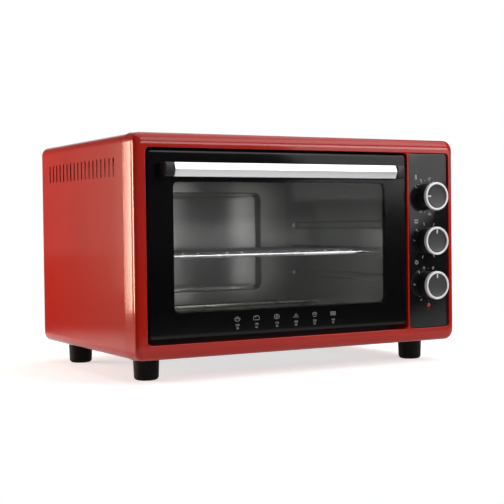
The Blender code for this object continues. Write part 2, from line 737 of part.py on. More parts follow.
def cavity():
    """Five welded sheets: two grooved sides, floor, ceiling and a back pressed out for a round tray."""
    side_wall("cavity_left_wall", CAVITY_LEFT, -1)
    right = side_wall("cavity_right_wall", CAVITY_RIGHT, 1)
    start = CAVITY_RIGHT - OVERRUN
    length = SHEET + OVERRUN * 2
    rows = [((start, py, pz), ROD_RADIUS + ROD_HOLE_PLAY, length)
            for py in (ROD_Y1, ROD_Y2) for pz in (LOWER_ROD_Z, UPPER_ROD_Z)]
    rows.append((
        (start, FRONT + CAPILLARY_ENTRY, CAVITY_CEILING - BULB_DROP), CAPILLARY_RADIUS + FREE_GAP, length,
    ))
    boolean(right, cutter(cylinders(rows, PLUS_X_UP, 12), "side_wall_holes"))
    bulb_x = CAVITY_RIGHT - BULB_OFFSET
    bulb_z = CAVITY_CEILING - BULB_DROP
    clip_y = FRONT + BULB_BACK + BULB_LENGTH / 2
    clip = box(
        (bulb_x, CAVITY_RIGHT + SHEET / 2), (clip_y - CLIP_THICKNESS / 2, clip_y + CLIP_THICKNESS / 2),
        (bulb_z - BULB_CLIP_HALF, bulb_z + BULB_CLIP_HALF),
    )
    boolean(right, cutter(clip, "bulb_clip"), "UNION")
    row = ((bulb_x, clip_y - CLIP_THICKNESS, bulb_z), BULB_RADIUS + GAP, CLIP_THICKNESS * 2)
    boolean(right, cutter(cylinders([row], PLUS_Y_UP, 16), "bulb_clip_seat"))
    x = (CAVITY_LEFT - CAVITY_LAP, CAVITY_RIGHT + CAVITY_LAP)
    y = (CAVITY_START, CAVITY_END - GAP)
    part(box(x, y, (CAVITY_FLOOR - SHEET, CAVITY_FLOOR)), "cavity_floor", cavity_steel)
    part(box(x, y, (CAVITY_CEILING, CAVITY_CEILING + SHEET)), "cavity_ceiling", cavity_steel)
    cavity_back(x, (CAVITY_FLOOR - CAVITY_LAP, CAVITY_CEILING + CAVITY_LAP))


def bulge(x, z):
    """How far the back wall is pushed out at a point: an arc in plan, drafted at its edges."""
    share = (x - CAVITY_MID) / BULGE_HALF_WIDTH
    edge = min(BULGE_HALF_WIDTH - abs(x - CAVITY_MID), z - BULGE_BOTTOM, BULGE_TOP - z)
    ramp = max(0, min(1, edge / BULGE_DRAFT))
    return ramp * (BULGE_STEP + (BULGE_DEPTH - BULGE_STEP) * (1 - share * share))


def cavity_back(x, z):
    left = CAVITY_MID - BULGE_HALF_WIDTH
    right = CAVITY_MID + BULGE_HALF_WIDTH
    inner_left = left + BULGE_DRAFT
    inner_right = right - BULGE_DRAFT
    columns = [x[0], left]
    for index in range(BULGE_COLUMNS + 1):
        columns.append(inner_left + (inner_right - inner_left) * index / BULGE_COLUMNS)
    columns += [right, x[1]]
    rows = [z[0], BULGE_BOTTOM, BULGE_BOTTOM + BULGE_DRAFT, BULGE_TOP - BULGE_DRAFT, BULGE_TOP, z[1]]
    bm = bmesh.new()
    bmesh.ops.create_grid(bm, x_segments=len(columns) - 1, y_segments=len(rows) - 1, size=0.5)
    for vert in bm.verts:
        px = columns[round((vert.co.x + 0.5) * (len(columns) - 1))]
        pz = rows[round((vert.co.y + 0.5) * (len(rows) - 1))]
        vert.co = (px, CAVITY_END + bulge(px, pz), pz)
    bmesh.ops.recalc_face_normals(bm, faces=bm.faces)
    if bm.faces[:][0].normal.y < 0:
        bmesh.ops.reverse_faces(bm, faces=bm.faces)
    item = part(bm, "cavity_back_wall", cavity_steel)
    solid = item.modifiers.new("sheet", "SOLIDIFY")
    solid.thickness = SHEET
    solid.offset = 1


def heating_elements():
    """Two sheathed rods, each a long loop whose end flanges sit on the outside of the right wall."""
    flange_x = CAVITY_RIGHT + SHEET + GAP
    for name, z in (("lower_heating_element", LOWER_ROD_Z), ("upper_heating_element", UPPER_ROD_Z)):
        middle = (ROD_REACH, (ROD_Y1 + ROD_Y2) / 2, z)
        route = [Vector((ROD_END, ROD_Y2, z))]
        route += arc(middle, ROD_SPREAD / 2, 90, 270, 10)
        route.append(Vector((ROD_END, ROD_Y1, z)))
        item = part(tube(route, ROD_RADIUS), name, rod_metal, smooth_deg=60)
        rows = [((flange_x, y, z), FLANGE_RADIUS, FLANGE_THICKNESS) for y in (ROD_Y1, ROD_Y2)]
        boolean(item, cutter(cylinders(rows, PLUS_X_UP, 16), name + "_flanges"), "UNION")
    x = (CLIP_X - CLIP_THICKNESS / 2, CLIP_X + CLIP_THICKNESS / 2)
    y = (ROD_Y1 - CLIP_WIDTH / 2, ROD_Y1 + CLIP_WIDTH / 2)
    low = (CAVITY_FLOOR + GAP, LOWER_ROD_Z)
    high = (UPPER_ROD_Z, CAVITY_CEILING - GAP)
    for name, z, level in (("lower_heater_clip", low, low[1]), ("upper_heater_clip", high, high[0])):
        item = part(box(x, y, z), name, zinc)
        row = ((x[0] - OVERRUN, ROD_Y1, level), ROD_RADIUS + GAP, CLIP_THICKNESS + OVERRUN * 2)
        boolean(item, cutter(cylinders([row], PLUS_X_UP, 16), name + "_seat"))


def wire_rack():
    """Chromed rack: a rounded rim of thick wire with thinner bars welded across its top."""
    slide = empty_at("rack_slide_axis", (CAVITY_MID, RACK_Y1, RACK_Z))
    r = RACK_CORNER_RADIUS
    route = []
    for cx, cy, start in (
        (RACK_RIGHT - r, RACK_Y2 - r, 0), (RACK_LEFT + r, RACK_Y2 - r, 90),
        (RACK_LEFT + r, RACK_Y1 + r, 180), (RACK_RIGHT - r, RACK_Y1 + r, 270),
    ):
        route += arc((cx, cy, RACK_Z), r, start, start + 90, 5)
    item = part(tube(route, RACK_WIRE_RADIUS, closed=True), "wire_rack", chrome, slide, 60)
    rows = []
    top = RACK_Z + RACK_WIRE_RADIUS + BAR_RADIUS - BAR_SINK
    start = RACK_Y1 - BAR_RADIUS
    length = RACK_Y2 - RACK_Y1 + BAR_RADIUS * 2
    for index in range(BAR_COUNT):
        x = CAVITY_MID + (index - (BAR_COUNT - 1) / 2) * BAR_PITCH
        rows.append(((x, start, top), BAR_RADIUS, length))
    boolean(item, cutter(cylinders(rows, PLUS_Y_UP, 8), "rack_bars"), "UNION")


def door():
    """Drop-down door: printed glass outside, sheet frame, second pane inside and the handle."""
    hinge = empty_at("door_hinge_axis", (DOOR_MID, HINGE_Y, HINGE_Z))
    door_glass(hinge)
    door_frame(hinge)
    inner_glass(hinge)
    handle(hinge)
    hinge_pins(hinge)
    stays(hinge)


def handle_screw_places():
    offset = BAR_LENGTH / 2 + GAP + BRACKET_WIDTH / 2
    return [DOOR_MID - offset, DOOR_MID + offset]


def door_glass(hinge):
    x = (DOOR_LEFT, DOOR_RIGHT)
    y = (GLASS_FRONT, GLASS_BACK)
    bm = rounded_box(x, y, (DOOR_BOTTOM, DOOR_TOP), GLASS_CORNER_RADIUS, GLASS_EDGE, GLASS_FRONT, 3)
    item = part(bm, "door_glass", black_glass, hinge, 40)
    rows = [((px, y[0] - OVERRUN, HANDLE_Z), SCREW_RADIUS + GAP, GLASS_THICKNESS + OVERRUN * 2)
            for px in handle_screw_places()]
    boolean(item, cutter(cylinders(rows, PLUS_Y_UP, 12), "glass_holes"))


def door_frame(hinge):
    inset = DOOR_FRAME_INSET
    x = (DOOR_LEFT + inset, DOOR_RIGHT - inset)
    z = (DOOR_BOTTOM + inset, DOOR_TOP - inset)
    y = (DOOR_FRAME_FRONT, DOOR_FRAME_BACK)
    corner = GLASS_CORNER_RADIUS - inset
    item = part(rounded_box(x, y, z, corner, steps=3), "door_frame", black_steel, hinge)
    t = DOOR_SHEET
    deep = (y[0] - OVERRUN, y[1] - t)
    channel = cutter(
        rounded_box((x[0] + t, x[1] - t), deep, (z[0] + t, z[1] - t), corner - t, steps=3), "door_channel",
    )
    rim = REBATE + t
    bm = rounded_box(
        (PANE_LEFT - rim, PANE_RIGHT + rim), (deep[0] - OVERRUN, deep[1] + OVERRUN),
        (PANE_BOTTOM - rim, PANE_TOP + rim), WINDOW_CORNER_RADIUS + rim, steps=3,
    )
    boolean(channel, cutter(bm, "door_return"))
    boolean(item, channel)
    bm = rounded_box(
        (PANE_LEFT - REBATE, PANE_RIGHT + REBATE), deep,
        (PANE_BOTTOM - REBATE, PANE_TOP + REBATE), WINDOW_CORNER_RADIUS + REBATE, steps=3,
    )
    boolean(item, cutter(bm, "glass_rebate"))
    bm = rounded_box(
        (PANE_LEFT, PANE_RIGHT), (y[0] - OVERRUN, y[1] + OVERRUN), (PANE_BOTTOM, PANE_TOP),
        WINDOW_CORNER_RADIUS, steps=3,
    )
    boolean(item, cutter(bm, "window_hole"))
    rows = [((px, HINGE_Y, HINGE_Z), PIN_RADIUS + GAP, t + OVERRUN * 2)
            for px in (x[0] - OVERRUN, x[1] - t - OVERRUN)]
    boolean(item, cutter(cylinders(rows, PLUS_X_UP, 16), "pin_holes"))


def inner_glass(hinge):
    play = REBATE - GAP
    back = DOOR_FRAME_BACK - DOOR_SHEET - GAP
    x = (PANE_LEFT - play, PANE_RIGHT + play)
    z = (PANE_BOTTOM - play, PANE_TOP + play)
    y = (back - INNER_GLASS, back)
    bm = rounded_box(x, y, z, WINDOW_CORNER_RADIUS + play, steps=3)
    part(bm, "door_inner_glass", clear_glass, hinge)
    retainer_y = (y[0] - GAP - DOOR_SHEET, y[0] - GAP)
    bm = rounded_box(x, retainer_y, z, WINDOW_CORNER_RADIUS + play, steps=3)
    ring = part(bm, "glass_retainer", zinc, hinge)
    rim = REBATE - RETAINER_WIDTH
    bm = rounded_box(
        (PANE_LEFT - rim, PANE_RIGHT + rim), (retainer_y[0] - OVERRUN, retainer_y[1] + OVERRUN),
        (PANE_BOTTOM - rim, PANE_TOP + rim), WINDOW_CORNER_RADIUS + rim, steps=3,
    )
    boolean(ring, cutter(bm, "retainer_window"))


def handle(hinge):
    """Faceted aluminium bar between two black end blocks, screwed on through the glass."""
    start = DOOR_MID - BAR_LENGTH / 2
    half = BAR_HEIGHT / 2
    outline = [
        (HANDLE_FRONT, 0), (HANDLE_FRONT + BAR_FACET, half), (HANDLE_FRONT + BAR_DEPTH, half),
        (HANDLE_FRONT + BAR_DEPTH, -half), (HANDLE_FRONT + BAR_FACET, -half),
    ]
    ring = [Vector((start, y, HANDLE_Z + z)) for y, z in outline]
    part(prism(ring, Vector((BAR_LENGTH, 0, 0))), "handle_bar", aluminium, hinge)
    y = (HANDLE_FRONT + BRACKET_SETBACK, GLASS_FRONT - GAP)
    z = (HANDLE_Z - half, HANDLE_Z + half)
    sides = (("handle_bracket_left", start - GAP - BRACKET_WIDTH),
             ("handle_bracket_right", start + BAR_LENGTH + GAP))
    for (name, low), screw_x in zip(sides, handle_screw_places()):
        bm = rounded_box((low, low + BRACKET_WIDTH), y, z, BRACKET_EDGE, BRACKET_EDGE, y[0], 2)
        item = part(bm, name, black_plastic, hinge, 40)
        row = ((screw_x, y[1] - SCREW_LENGTH, HANDLE_Z), SCREW_RADIUS + GAP, SCREW_LENGTH + OVERRUN)
        boolean(item, cutter(cylinders([row], PLUS_Y_UP, 12), name + "_hole"))
    length = GLASS_THICKNESS + SCREW_LENGTH - GAP * 4
    for side, px in zip(("left", "right"), handle_screw_places()):
        place = (px, GLASS_BACK + GAP, HANDLE_Z)
        screw("handle_screw_" + side, place, MINUS_Y_UP, length, hinge)


def screw(name, place, turn, length, parent=None):
    """A screw whose shank runs along turn's Z axis from under the head at place."""
    head = -SCREW_HEAD
    outline = [
        (0, length), (SCREW_RADIUS, length), (SCREW_RADIUS, 0), (SCREW_HEAD_RADIUS, 0),
        (SCREW_HEAD_RADIUS, head / 2), (SCREW_HEAD_RADIUS - SCREW_CROWN, head), (0, head),
    ]
    spot = Matrix.Translation(place) @ turn
    part(moved(turned(outline, 12), spot), name, screw_steel, parent, 40)


def hinge_pins(hinge):
    """Headed pins from inside the door frame through the surround into the hinge brackets."""
    outline = [
        (0, PIN_LENGTH), (PIN_RADIUS, PIN_LENGTH), (PIN_RADIUS, 0),
        (PIN_HEAD_RADIUS, 0), (PIN_HEAD_RADIUS, -PIN_HEAD), (0, -PIN_HEAD),
    ]
    inset = DOOR_FRAME_INSET + DOOR_SHEET + GAP
    sides = (
        ("hinge_pin_left", DOOR_LEFT + inset, MINUS_X_UP), ("hinge_pin_right", DOOR_RIGHT - inset, PLUS_X_UP),
    )
    for name, px, turn in sides:
        spot = Matrix.Translation((px, HINGE_Y, HINGE_Z)) @ turn
        part(moved(turned(outline, 16), spot), name, screw_steel, hinge, 40)


def hinge_brackets():
    """Folded brackets on the front plate: an ear with the pin's bore, and the closing spring."""
    inset = DOOR_FRAME_INSET + DOOR_SHEET + GAP
    tip_left = DOOR_LEFT + inset - PIN_LENGTH
    tip_right = DOOR_RIGHT - inset + PIN_LENGTH
    z = (HINGE_Z - BRACKET_HALF_HEIGHT, HINGE_Z + BRACKET_HALF_HEIGHT)
    y = (HINGE_Y - BRACKET_NOSE + GAP, PLATE_FRONT - GAP)
    for side, tip, inward in (("left", tip_left, 1), ("right", tip_right, -1)):
        ear = sorted((tip, tip + inward * BRACKET_EAR))
        foot = sorted((tip, tip + inward * BRACKET_FOOT_WIDTH))
        item = part(box(ear, y, z), "hinge_bracket_" + side, zinc)
        bm = box(foot, (y[1] - BRACKET_FOOT, y[1]), z)
        boolean(item, cutter(bm, "hinge_foot_" + side), "UNION")
        row = ((ear[0] - OVERRUN, HINGE_Y, HINGE_Z), PIN_RADIUS + GAP, BRACKET_EAR + OVERRUN * 2)
        boolean(item, cutter(cylinders([row], PLUS_X_UP, 16), "hinge_bore_" + side))
        start = tip + inward * (BRACKET_EAR + GAP + SPRING_WIRE)
        route = []
        steps = SPRING_TURNS * 10
        for index in range(steps + 1):
            angle = math.tau * index / 10
            x = start + inward * SPRING_PITCH * index / 10
            y0 = HINGE_Y + SPRING_RADIUS * math.cos(angle)
            route.append(Vector((x, y0, HINGE_Z + SPRING_RADIUS * math.sin(angle))))
        part(tube(route, SPRING_WIRE, fine=1), "door_spring_" + side, screw_steel, smooth_deg=60)


def stay_spans():
    """Where the two door stays lie across the width, just outside the cavity's walls."""
    left = LEFT_WALL_OUT - STAY_OFFSET
    right = RIGHT_WALL_OUT + STAY_OFFSET
    return [(left - STAY_SHEET, left), (right, right + STAY_SHEET)]


def stays(hinge):
    """Arc-shaped door stays about the hinge axis, whose hooks stop the door when it lies flat."""
    middle = (0, HINGE_Y, HINGE_Z)
    outer = STAY_RADIUS + STAY_HALF_WIDTH
    inner = STAY_RADIUS - STAY_HALF_WIDTH
    hook_out = STAY_RADIUS + STAY_HOOK_HALF_WIDTH
    hook_in = STAY_RADIUS - STAY_HOOK_HALF_WIDTH
    y = (DOOR_FRAME_BACK + GAP, DOOR_FRAME_BACK + GAP + STAY_SHEET)
    z = (HINGE_Z + STAY_TAB_BOTTOM, HINGE_Z + STAY_TAB_TOP)
    for side, (x0, x1) in zip(("left", "right"), stay_spans()):
        outline = arc(middle, outer, STAY_START_DEG, STAY_HOOK_DEG, 12, "YZ")
        outline += arc(middle, hook_out, STAY_HOOK_DEG, STAY_END_DEG, 1, "YZ")
        outline += arc(middle, hook_in, STAY_END_DEG, STAY_HOOK_DEG, 1, "YZ")
        outline += arc(middle, inner, STAY_HOOK_DEG, STAY_START_DEG, 12, "YZ")
        ring = [point + Vector((x0, 0, 0)) for point in outline]
        item = part(prism(ring, Vector((x1 - x0, 0, 0))), "door_stay_" + side, zinc, hinge)
        tab = (x0, x0 + STAY_TAB_WIDTH) if side == "left" else (x1 - STAY_TAB_WIDTH, x1)
        boolean(item, cutter(box(tab, y, z), "stay_tab_" + side), "UNION")


def control_panel():
    """Glossy black plate with a hole at each knob and one for the pilot lamp."""
    x = (PANEL_OPEN_LEFT + GAP, PANEL_OPEN_RIGHT - GAP)
    z = (OPEN_BOTTOM + GAP, OPEN_TOP - GAP)
    corner = OPENING_CORNER_RADIUS - GAP
    bm = rounded_box(x, (PANEL_FRONT, PANEL_BACK), z, corner, PANEL_BEVEL, PANEL_FRONT, 3)
    item = part(bm, "control_panel", gloss_black, smooth_deg=40)
    start = PANEL_FRONT - OVERRUN
    length = PANEL_THICKNESS + OVERRUN * 2
    rows = [((PANEL_MID, start, z0), PANEL_HOLE_RADIUS, length) for z0 in knob_heights()]
    rows.append(((PANEL_MID, start, LAMP_Z), LENS_RADIUS + GAP, length))
    boolean(item, cutter(cylinders(rows, PLUS_Y_UP, 16), "panel_holes"))


def knob_heights():
    return [KNOB_MID + KNOB_PITCH, KNOB_MID, KNOB_MID - KNOB_PITCH]


def control_bracket():
    """Channel of sheet steel behind the panel that carries the thermostat, selector and timer."""
    x = (PANEL_OPEN_LEFT + FREE_GAP, PANEL_OPEN_RIGHT - FREE_GAP)
    z = (CONTROL_BOTTOM, CONTROL_TOP)
    y = (CONTROL_FRONT, PLATE_FRONT - GAP)
    item = part(box(x, y, z), "control_bracket", zinc)
    t = CONTROL_SHEET
    bm = box((x[0] + t, x[1] - t), (CONTROL_BACK, y[1] + OVERRUN), (z[0] - OVERRUN, z[1] + OVERRUN))
    boolean(item, cutter(bm, "bracket_channel"))
    start = CONTROL_FRONT - OVERRUN
    length = t + OVERRUN * 2
    rows = [((PANEL_MID, start, z0), PANEL_HOLE_RADIUS, length) for z0 in knob_heights()]
    rows.append(((PANEL_MID, start, LAMP_Z), LAMP_RADIUS + GAP, length))
    boolean(item, cutter(cylinders(rows, PLUS_Y_UP, 12), "bracket_holes"))


def controls():
    """Thermostat, function selector and timer, each with the bore that its shaft turns in."""
    names = ("thermostat_body", "selector_switch_body", "timer_body")
    for index, (name, z) in enumerate(zip(names, knob_heights())):
        depth = (SWITCH_FRONT, SWITCH_FRONT + SWITCH_DEPTH)
        if name == "timer_body":
            row = ((PANEL_MID, depth[0], z), TIMER_RADIUS, SWITCH_DEPTH)
            bm = cylinders([row], PLUS_Y_UP, 24)
        else:
            x = (PANEL_MID - SWITCH_WIDTH / 2, PANEL_MID + SWITCH_WIDTH / 2)
            bm = rounded_box(x, depth, (z - SWITCH_HEIGHT / 2, z + SWITCH_HEIGHT / 2), SWITCH_EDGE, steps=2)
        item = part(bm, name, (zinc, dark_plastic, zinc)[index])
        row = ((PANEL_MID, depth[0] - OVERRUN, z), SHAFT_RADIUS + GAP, SHAFT_SEAT + OVERRUN)
        boolean(item, cutter(cylinders([row], PLUS_Y_UP, 12), name + "_bore"))


def knob_set():
    """Three push-on knobs: hollow black body, bright ring round the face, and the D-shaped shaft."""
    low = KNOB_LIFT
    top = KNOB_HEIGHT
    crown = top - KNOB_CROWN
    face = top - RING_EDGE
    bore = SHAFT_RADIUS + GAP
    hub_floor = low + KNOB_WALL
    bore_top = low + SHAFT_ENGAGE + GAP
    seat = RING_INNER_RADIUS - GAP
    ceiling = crown - KNOB_WALL
    body = [
        (0, face), (seat, face), (seat, crown), (KNOB_RADIUS, crown), (KNOB_RADIUS, low),
        (KNOB_RADIUS - KNOB_WALL, low), (KNOB_RADIUS - KNOB_WALL, ceiling), (KNOB_HUB_RADIUS, ceiling),
        (KNOB_HUB_RADIUS, hub_floor), (bore, hub_floor), (bore, bore_top), (0, bore_top),
    ]
    ring_low = crown + GAP
    ring = [
        (RING_INNER_RADIUS, top - RING_EDGE), (RING_INNER_RADIUS + RING_EDGE, top),
        (RING_RADIUS - RING_EDGE, top), (RING_RADIUS, top - RING_EDGE),
        (RING_RADIUS, ring_low), (RING_INNER_RADIUS, ring_low),
    ]
    for name, z in zip(KNOB_NAMES, knob_heights()):
        axis = empty_at(name + "_axis", (PANEL_MID, PANEL_FRONT, z))
        spot = Matrix.Translation((PANEL_MID, PANEL_FRONT, z)) @ MINUS_Y_UP
        part(moved(turned(body, 28), spot), name + "_knob", black_plastic, axis, 40)
        part(moved(turned(ring, 28), spot), name + "_knob_ring", bright_ring, axis, 40)
        end = SWITCH_FRONT + SHAFT_SEAT - GAP
        start = PANEL_FRONT - low - SHAFT_ENGAGE
        row = ((PANEL_MID, start, z), SHAFT_RADIUS, end - start)
        shaft = part(cylinders([row], PLUS_Y_UP, 12), name + "_shaft", screw_steel, axis, 40)
        flat = box(
            (PANEL_MID - KNOB_HUB_RADIUS, PANEL_MID + KNOB_HUB_RADIUS),
            (start - OVERRUN, PANEL_FRONT - low), (z + SHAFT_FLAT, z + KNOB_HUB_RADIUS),
        )
        boolean(shaft, cutter(flat, name + "_flat"))


def pilot_lamp():
    """Snap-in indicator: a red lens in the panel on a round body that reaches through the bracket."""
    r = LENS_RADIUS
    shoulder = -PANEL_THICKNESS - GAP
    outline = [
        (0, LENS_RISE), (r * LENS_CROWN_SHARE, LENS_RISE * LENS_CROWN_SHARE), (r, 0), (r, shoulder),
        (LAMP_RADIUS, shoulder), (LAMP_RADIUS, shoulder - LAMP_LENGTH), (0, shoulder - LAMP_LENGTH),
    ]
    spot = Matrix.Translation((PANEL_MID, PANEL_FRONT, LAMP_Z)) @ MINUS_Y_UP
    part(moved(turned(outline, 16), spot), "pilot_lamp", red_lens, smooth_deg=40)


def capillary():
    """Thermostat bulb in its clip near the ceiling, with its thin tube to the thermostat."""
    x = CAVITY_RIGHT - BULB_OFFSET
    z = CAVITY_CEILING - BULB_DROP
    bulb_y = FRONT + BULB_BACK
    entry_y = FRONT + CAPILLARY_ENTRY
    reach = bulb_y - entry_y
    thin = CAPILLARY_RADIUS / BULB_RADIUS
    body_z = KNOB_MID + KNOB_PITCH
    body_y = SWITCH_FRONT + SWITCH_DEPTH + GAP
    bay_x = PARTITION_X + (PANEL_MID - PARTITION_X) / 2
    route = [
        ((x, bulb_y + BULB_LENGTH, z), 0.4), ((x, bulb_y + BULB_LENGTH - BULB_RADIUS, z), 1),
        ((x, bulb_y + BULB_RADIUS, z), 1), ((x, bulb_y, z), thin),
        ((x, entry_y + reach / 2, z), thin), ((x + reach / 4, entry_y + reach / 6, z), thin),
        ((CAVITY_RIGHT - OVERRUN, entry_y, z), thin), ((PARTITION_X + OVERRUN, entry_y, z), thin),
        ((bay_x, entry_y + reach / 3, z), thin), ((PANEL_MID - reach / 2, body_y + reach * 2, z), thin),
        ((PANEL_MID, body_y + reach * 2, (z + body_z) / 2), thin),
        ((PANEL_MID, body_y + reach, body_z + reach / 3), thin), ((PANEL_MID, body_y, body_z), thin),
    ]
    points = [place for place, share in route]
    shares = [share for place, share in route]
    part(tube(points, BULB_RADIUS, radii=shares), "thermostat_bulb", copper, smooth_deg=60)


def feet():
    """Four black feet, straight with a rounded sole and a well for the screw."""
    sole = FOOT_SOLE_DROP
    top = BOTTOM + COVER_INSET - GAP
    outline = [(SCREW_RADIUS + GAP, top), (FOOT_RADIUS, top), (FOOT_WAIST_RADIUS, sole)]
    middle_r = FOOT_TOE_RADIUS
    wide = FOOT_WAIST_RADIUS - FOOT_TOE_RADIUS
    for step in (1, 2, 3, 4):
        angle = math.radians(90 * step / 4)
        outline.append((middle_r + wide * math.cos(angle), sole * (1 - math.sin(angle))))
    outline += [(FOOT_WELL_RADIUS, 0), (FOOT_WELL_RADIUS, FOOT_WELL_DEPTH)]
    outline.append((SCREW_RADIUS + GAP, FOOT_WELL_DEPTH))
    names = ("foot_front_left", "foot_back_left", "foot_front_right", "foot_back_right")
    length = top - FOOT_WELL_DEPTH + SCREW_LENGTH
    for name, (px, py) in zip(names, foot_places()):
        bm = moved(turned(outline, 24), Matrix.Translation((px, py, 0)))
        part(bm, name, rubber, smooth_deg=40)
        place = (px, py, FOOT_WELL_DEPTH - GAP)
        screw(name.replace("foot", "foot_screw"), place, Matrix.Identity(4), length)


def wiring():
    """Cord gland in the back panel, terminal block and the leads up to the three controls."""
    back = BACK_PANEL_BACK + GAP
    front = BACK_PANEL_FRONT - GLAND_TAIL
    outline = [
        (GLAND_BORE, back + GLAND_FLANGE), (GLAND_FLANGE_RADIUS - RING_EDGE, back + GLAND_FLANGE),
        (GLAND_FLANGE_RADIUS, back + GLAND_FLANGE / 2), (GLAND_FLANGE_RADIUS, back),
        (GLAND_RADIUS, back), (GLAND_RADIUS, front), (GLAND_BORE, front),
    ]
    spot = Matrix.Translation((GLAND_X, 0, GLAND_Z)) @ PLUS_Y_UP
    part(moved(turned(outline, 20), spot), "cord_gland", black_plastic, smooth_deg=40)
    low = INNER_BOTTOM + GAP
    y = (REAR - BLOCK_BACK - BLOCK_DEPTH, REAR - BLOCK_BACK)
    x = (GLAND_X - BLOCK_WIDTH / 2, GLAND_X + BLOCK_WIDTH / 2)
    part(box(x, y, (low, low + BLOCK_HEIGHT)), "terminal_block", ceramic)
    rear = SWITCH_FRONT + SWITCH_DEPTH + GAP
    trunk_y = rear + TRUNK_BEHIND
    lead_z = low + BLOCK_HEIGHT / 2
    bend = TRUNK_BEHIND / 2
    foot = [
        Vector((PANEL_MID, y[0] - GAP, lead_z)), Vector((PANEL_MID, trunk_y + bend, lead_z)),
        Vector((PANEL_MID, trunk_y, lead_z + bend)),
    ]
    top = knob_heights()[0] - WIRE_DROP
    item = part(tube([*foot, Vector((PANEL_MID, trunk_y, top))], TRUNK_RADIUS), "wiring_harness",
                lead_jacket, smooth_deg=60)
    for index, z in enumerate(knob_heights()):
        level = z - WIRE_DROP
        row = ((PANEL_MID, rear, level), WIRE_RADIUS, TRUNK_BEHIND)
        boolean(item, cutter(cylinders([row], PLUS_Y_UP, 8), "harness_branch_%d" % index), "UNION")


clear_scene()
parts = new_collection("electric_oven")
cutters = new_collection("cutters")

red = finish("red_paint", (0.60, 0.022, 0.014), 0.22, 0.0)
steel = finish("front_steel", (0.10, 0.10, 0.11), 0.45, 0.8)
zinc = finish("zinc_sheet", (0.55, 0.56, 0.58), 0.40, 0.9)
cavity_steel = finish("cavity_steel", (0.36, 0.37, 0.37), 0.32, 0.9)
rod_metal = finish("rod_metal", (0.40, 0.40, 0.36), 0.30, 1.0)
chrome = finish("chrome_wire", (0.80, 0.80, 0.80), 0.12, 1.0)
ceramic = finish("ceramic", (0.85, 0.83, 0.78), 0.55, 0.0)
black_glass = finish("black_glass", (0.010, 0.010, 0.011), 0.06, 0.0, 0.8)
clear_glass = finish("clear_glass", (0.75, 0.78, 0.78), 0.05, 0.0, 0.3)
black_steel = finish("black_steel", (0.015, 0.015, 0.016), 0.40, 0.3)
aluminium = finish("aluminium", (0.80, 0.81, 0.82), 0.28, 1.0)
black_plastic = finish("black_plastic", (0.018, 0.018, 0.020), 0.40, 0.0)
dark_plastic = finish("dark_plastic", (0.05, 0.05, 0.055), 0.50, 0.0)
gloss_black = finish("gloss_black", (0.012, 0.013, 0.014), 0.08, 0.0)
bright_ring = finish("bright_ring", (0.85, 0.86, 0.87), 0.18, 1.0)
screw_steel = finish("screw_steel", (0.60, 0.60, 0.62), 0.30, 1.0)
red_lens = finish("red_lens", (0.70, 0.03, 0.02), 0.10, 0.0)
copper = finish("copper", (0.70, 0.38, 0.25), 0.30, 1.0)
rubber = finish("rubber", (0.020, 0.020, 0.021), 0.60, 0.0)
lead_jacket = finish("lead_jacket", (0.60, 0.58, 0.52), 0.60, 0.0)

front_frame()
outer_cover()
base_plate()
back_panel()
front_plate()
partition_wall()
cavity()
heating_elements()
wire_rack()
hinge_brackets()
door()
control_panel()
control_bracket()
controls()
knob_set()
pilot_lamp()
capillary()
feet()
wiring()
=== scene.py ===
import math

import bmesh
import bpy
import numpy as np
from mathutils import Matrix, Vector
from mathutils.geometry import tessellate_polygon


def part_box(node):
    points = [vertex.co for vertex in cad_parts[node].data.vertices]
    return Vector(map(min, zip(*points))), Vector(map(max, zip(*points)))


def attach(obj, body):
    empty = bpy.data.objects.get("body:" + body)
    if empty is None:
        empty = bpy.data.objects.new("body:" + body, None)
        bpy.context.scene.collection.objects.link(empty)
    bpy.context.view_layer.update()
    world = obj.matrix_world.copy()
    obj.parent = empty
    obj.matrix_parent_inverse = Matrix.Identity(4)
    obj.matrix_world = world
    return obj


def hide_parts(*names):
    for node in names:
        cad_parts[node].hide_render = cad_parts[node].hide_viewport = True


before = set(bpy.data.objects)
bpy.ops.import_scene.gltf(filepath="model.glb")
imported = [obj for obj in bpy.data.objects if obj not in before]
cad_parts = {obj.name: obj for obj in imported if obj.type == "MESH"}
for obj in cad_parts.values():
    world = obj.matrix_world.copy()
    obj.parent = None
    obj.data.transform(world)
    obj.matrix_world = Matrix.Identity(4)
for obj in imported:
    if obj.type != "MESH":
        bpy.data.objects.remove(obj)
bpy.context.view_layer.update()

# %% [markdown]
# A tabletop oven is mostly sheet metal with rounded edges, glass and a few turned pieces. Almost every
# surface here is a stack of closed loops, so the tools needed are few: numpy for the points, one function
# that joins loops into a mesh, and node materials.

MM = 0.001
SIDES = ("left", "right")
CORNERS = [end + side for end in ("front_", "back_") for side in SIDES]


def node_box(name):
    """The two corners of a CAD node as arrays, in metres."""
    low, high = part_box(name)
    return np.array(low), np.array(high)


def spans(low, high):
    """The x span and the z span of a box."""
    return (low[0], high[0]), (low[2], high[2])


def add_object(name, data):
    """A new object that holds the data, linked to the scene."""
    item = bpy.data.objects.new(name, data)
    bpy.context.scene.collection.objects.link(item)
    return item


frame_low, frame_high = node_box("front_frame")
cover_low, cover_high = node_box("outer_cover")
glass_low, glass_high = node_box("door_glass")
panel_low, panel_high = node_box("control_panel")
rack_low, rack_high = node_box("wire_rack")
FRONT = frame_low[1]
REAR = cover_high[1]
print("front plane", round(FRONT, 4), "back plane", round(REAR, 4))

# %% [markdown]
# The photo was taken from the left and slightly above the middle of the oven, with the camera almost level.
# A camera object needs a place and three directions: where it looks, its right and its up. The view
# direction comes from a yaw and a pitch, and the small roll turns right and up about it.

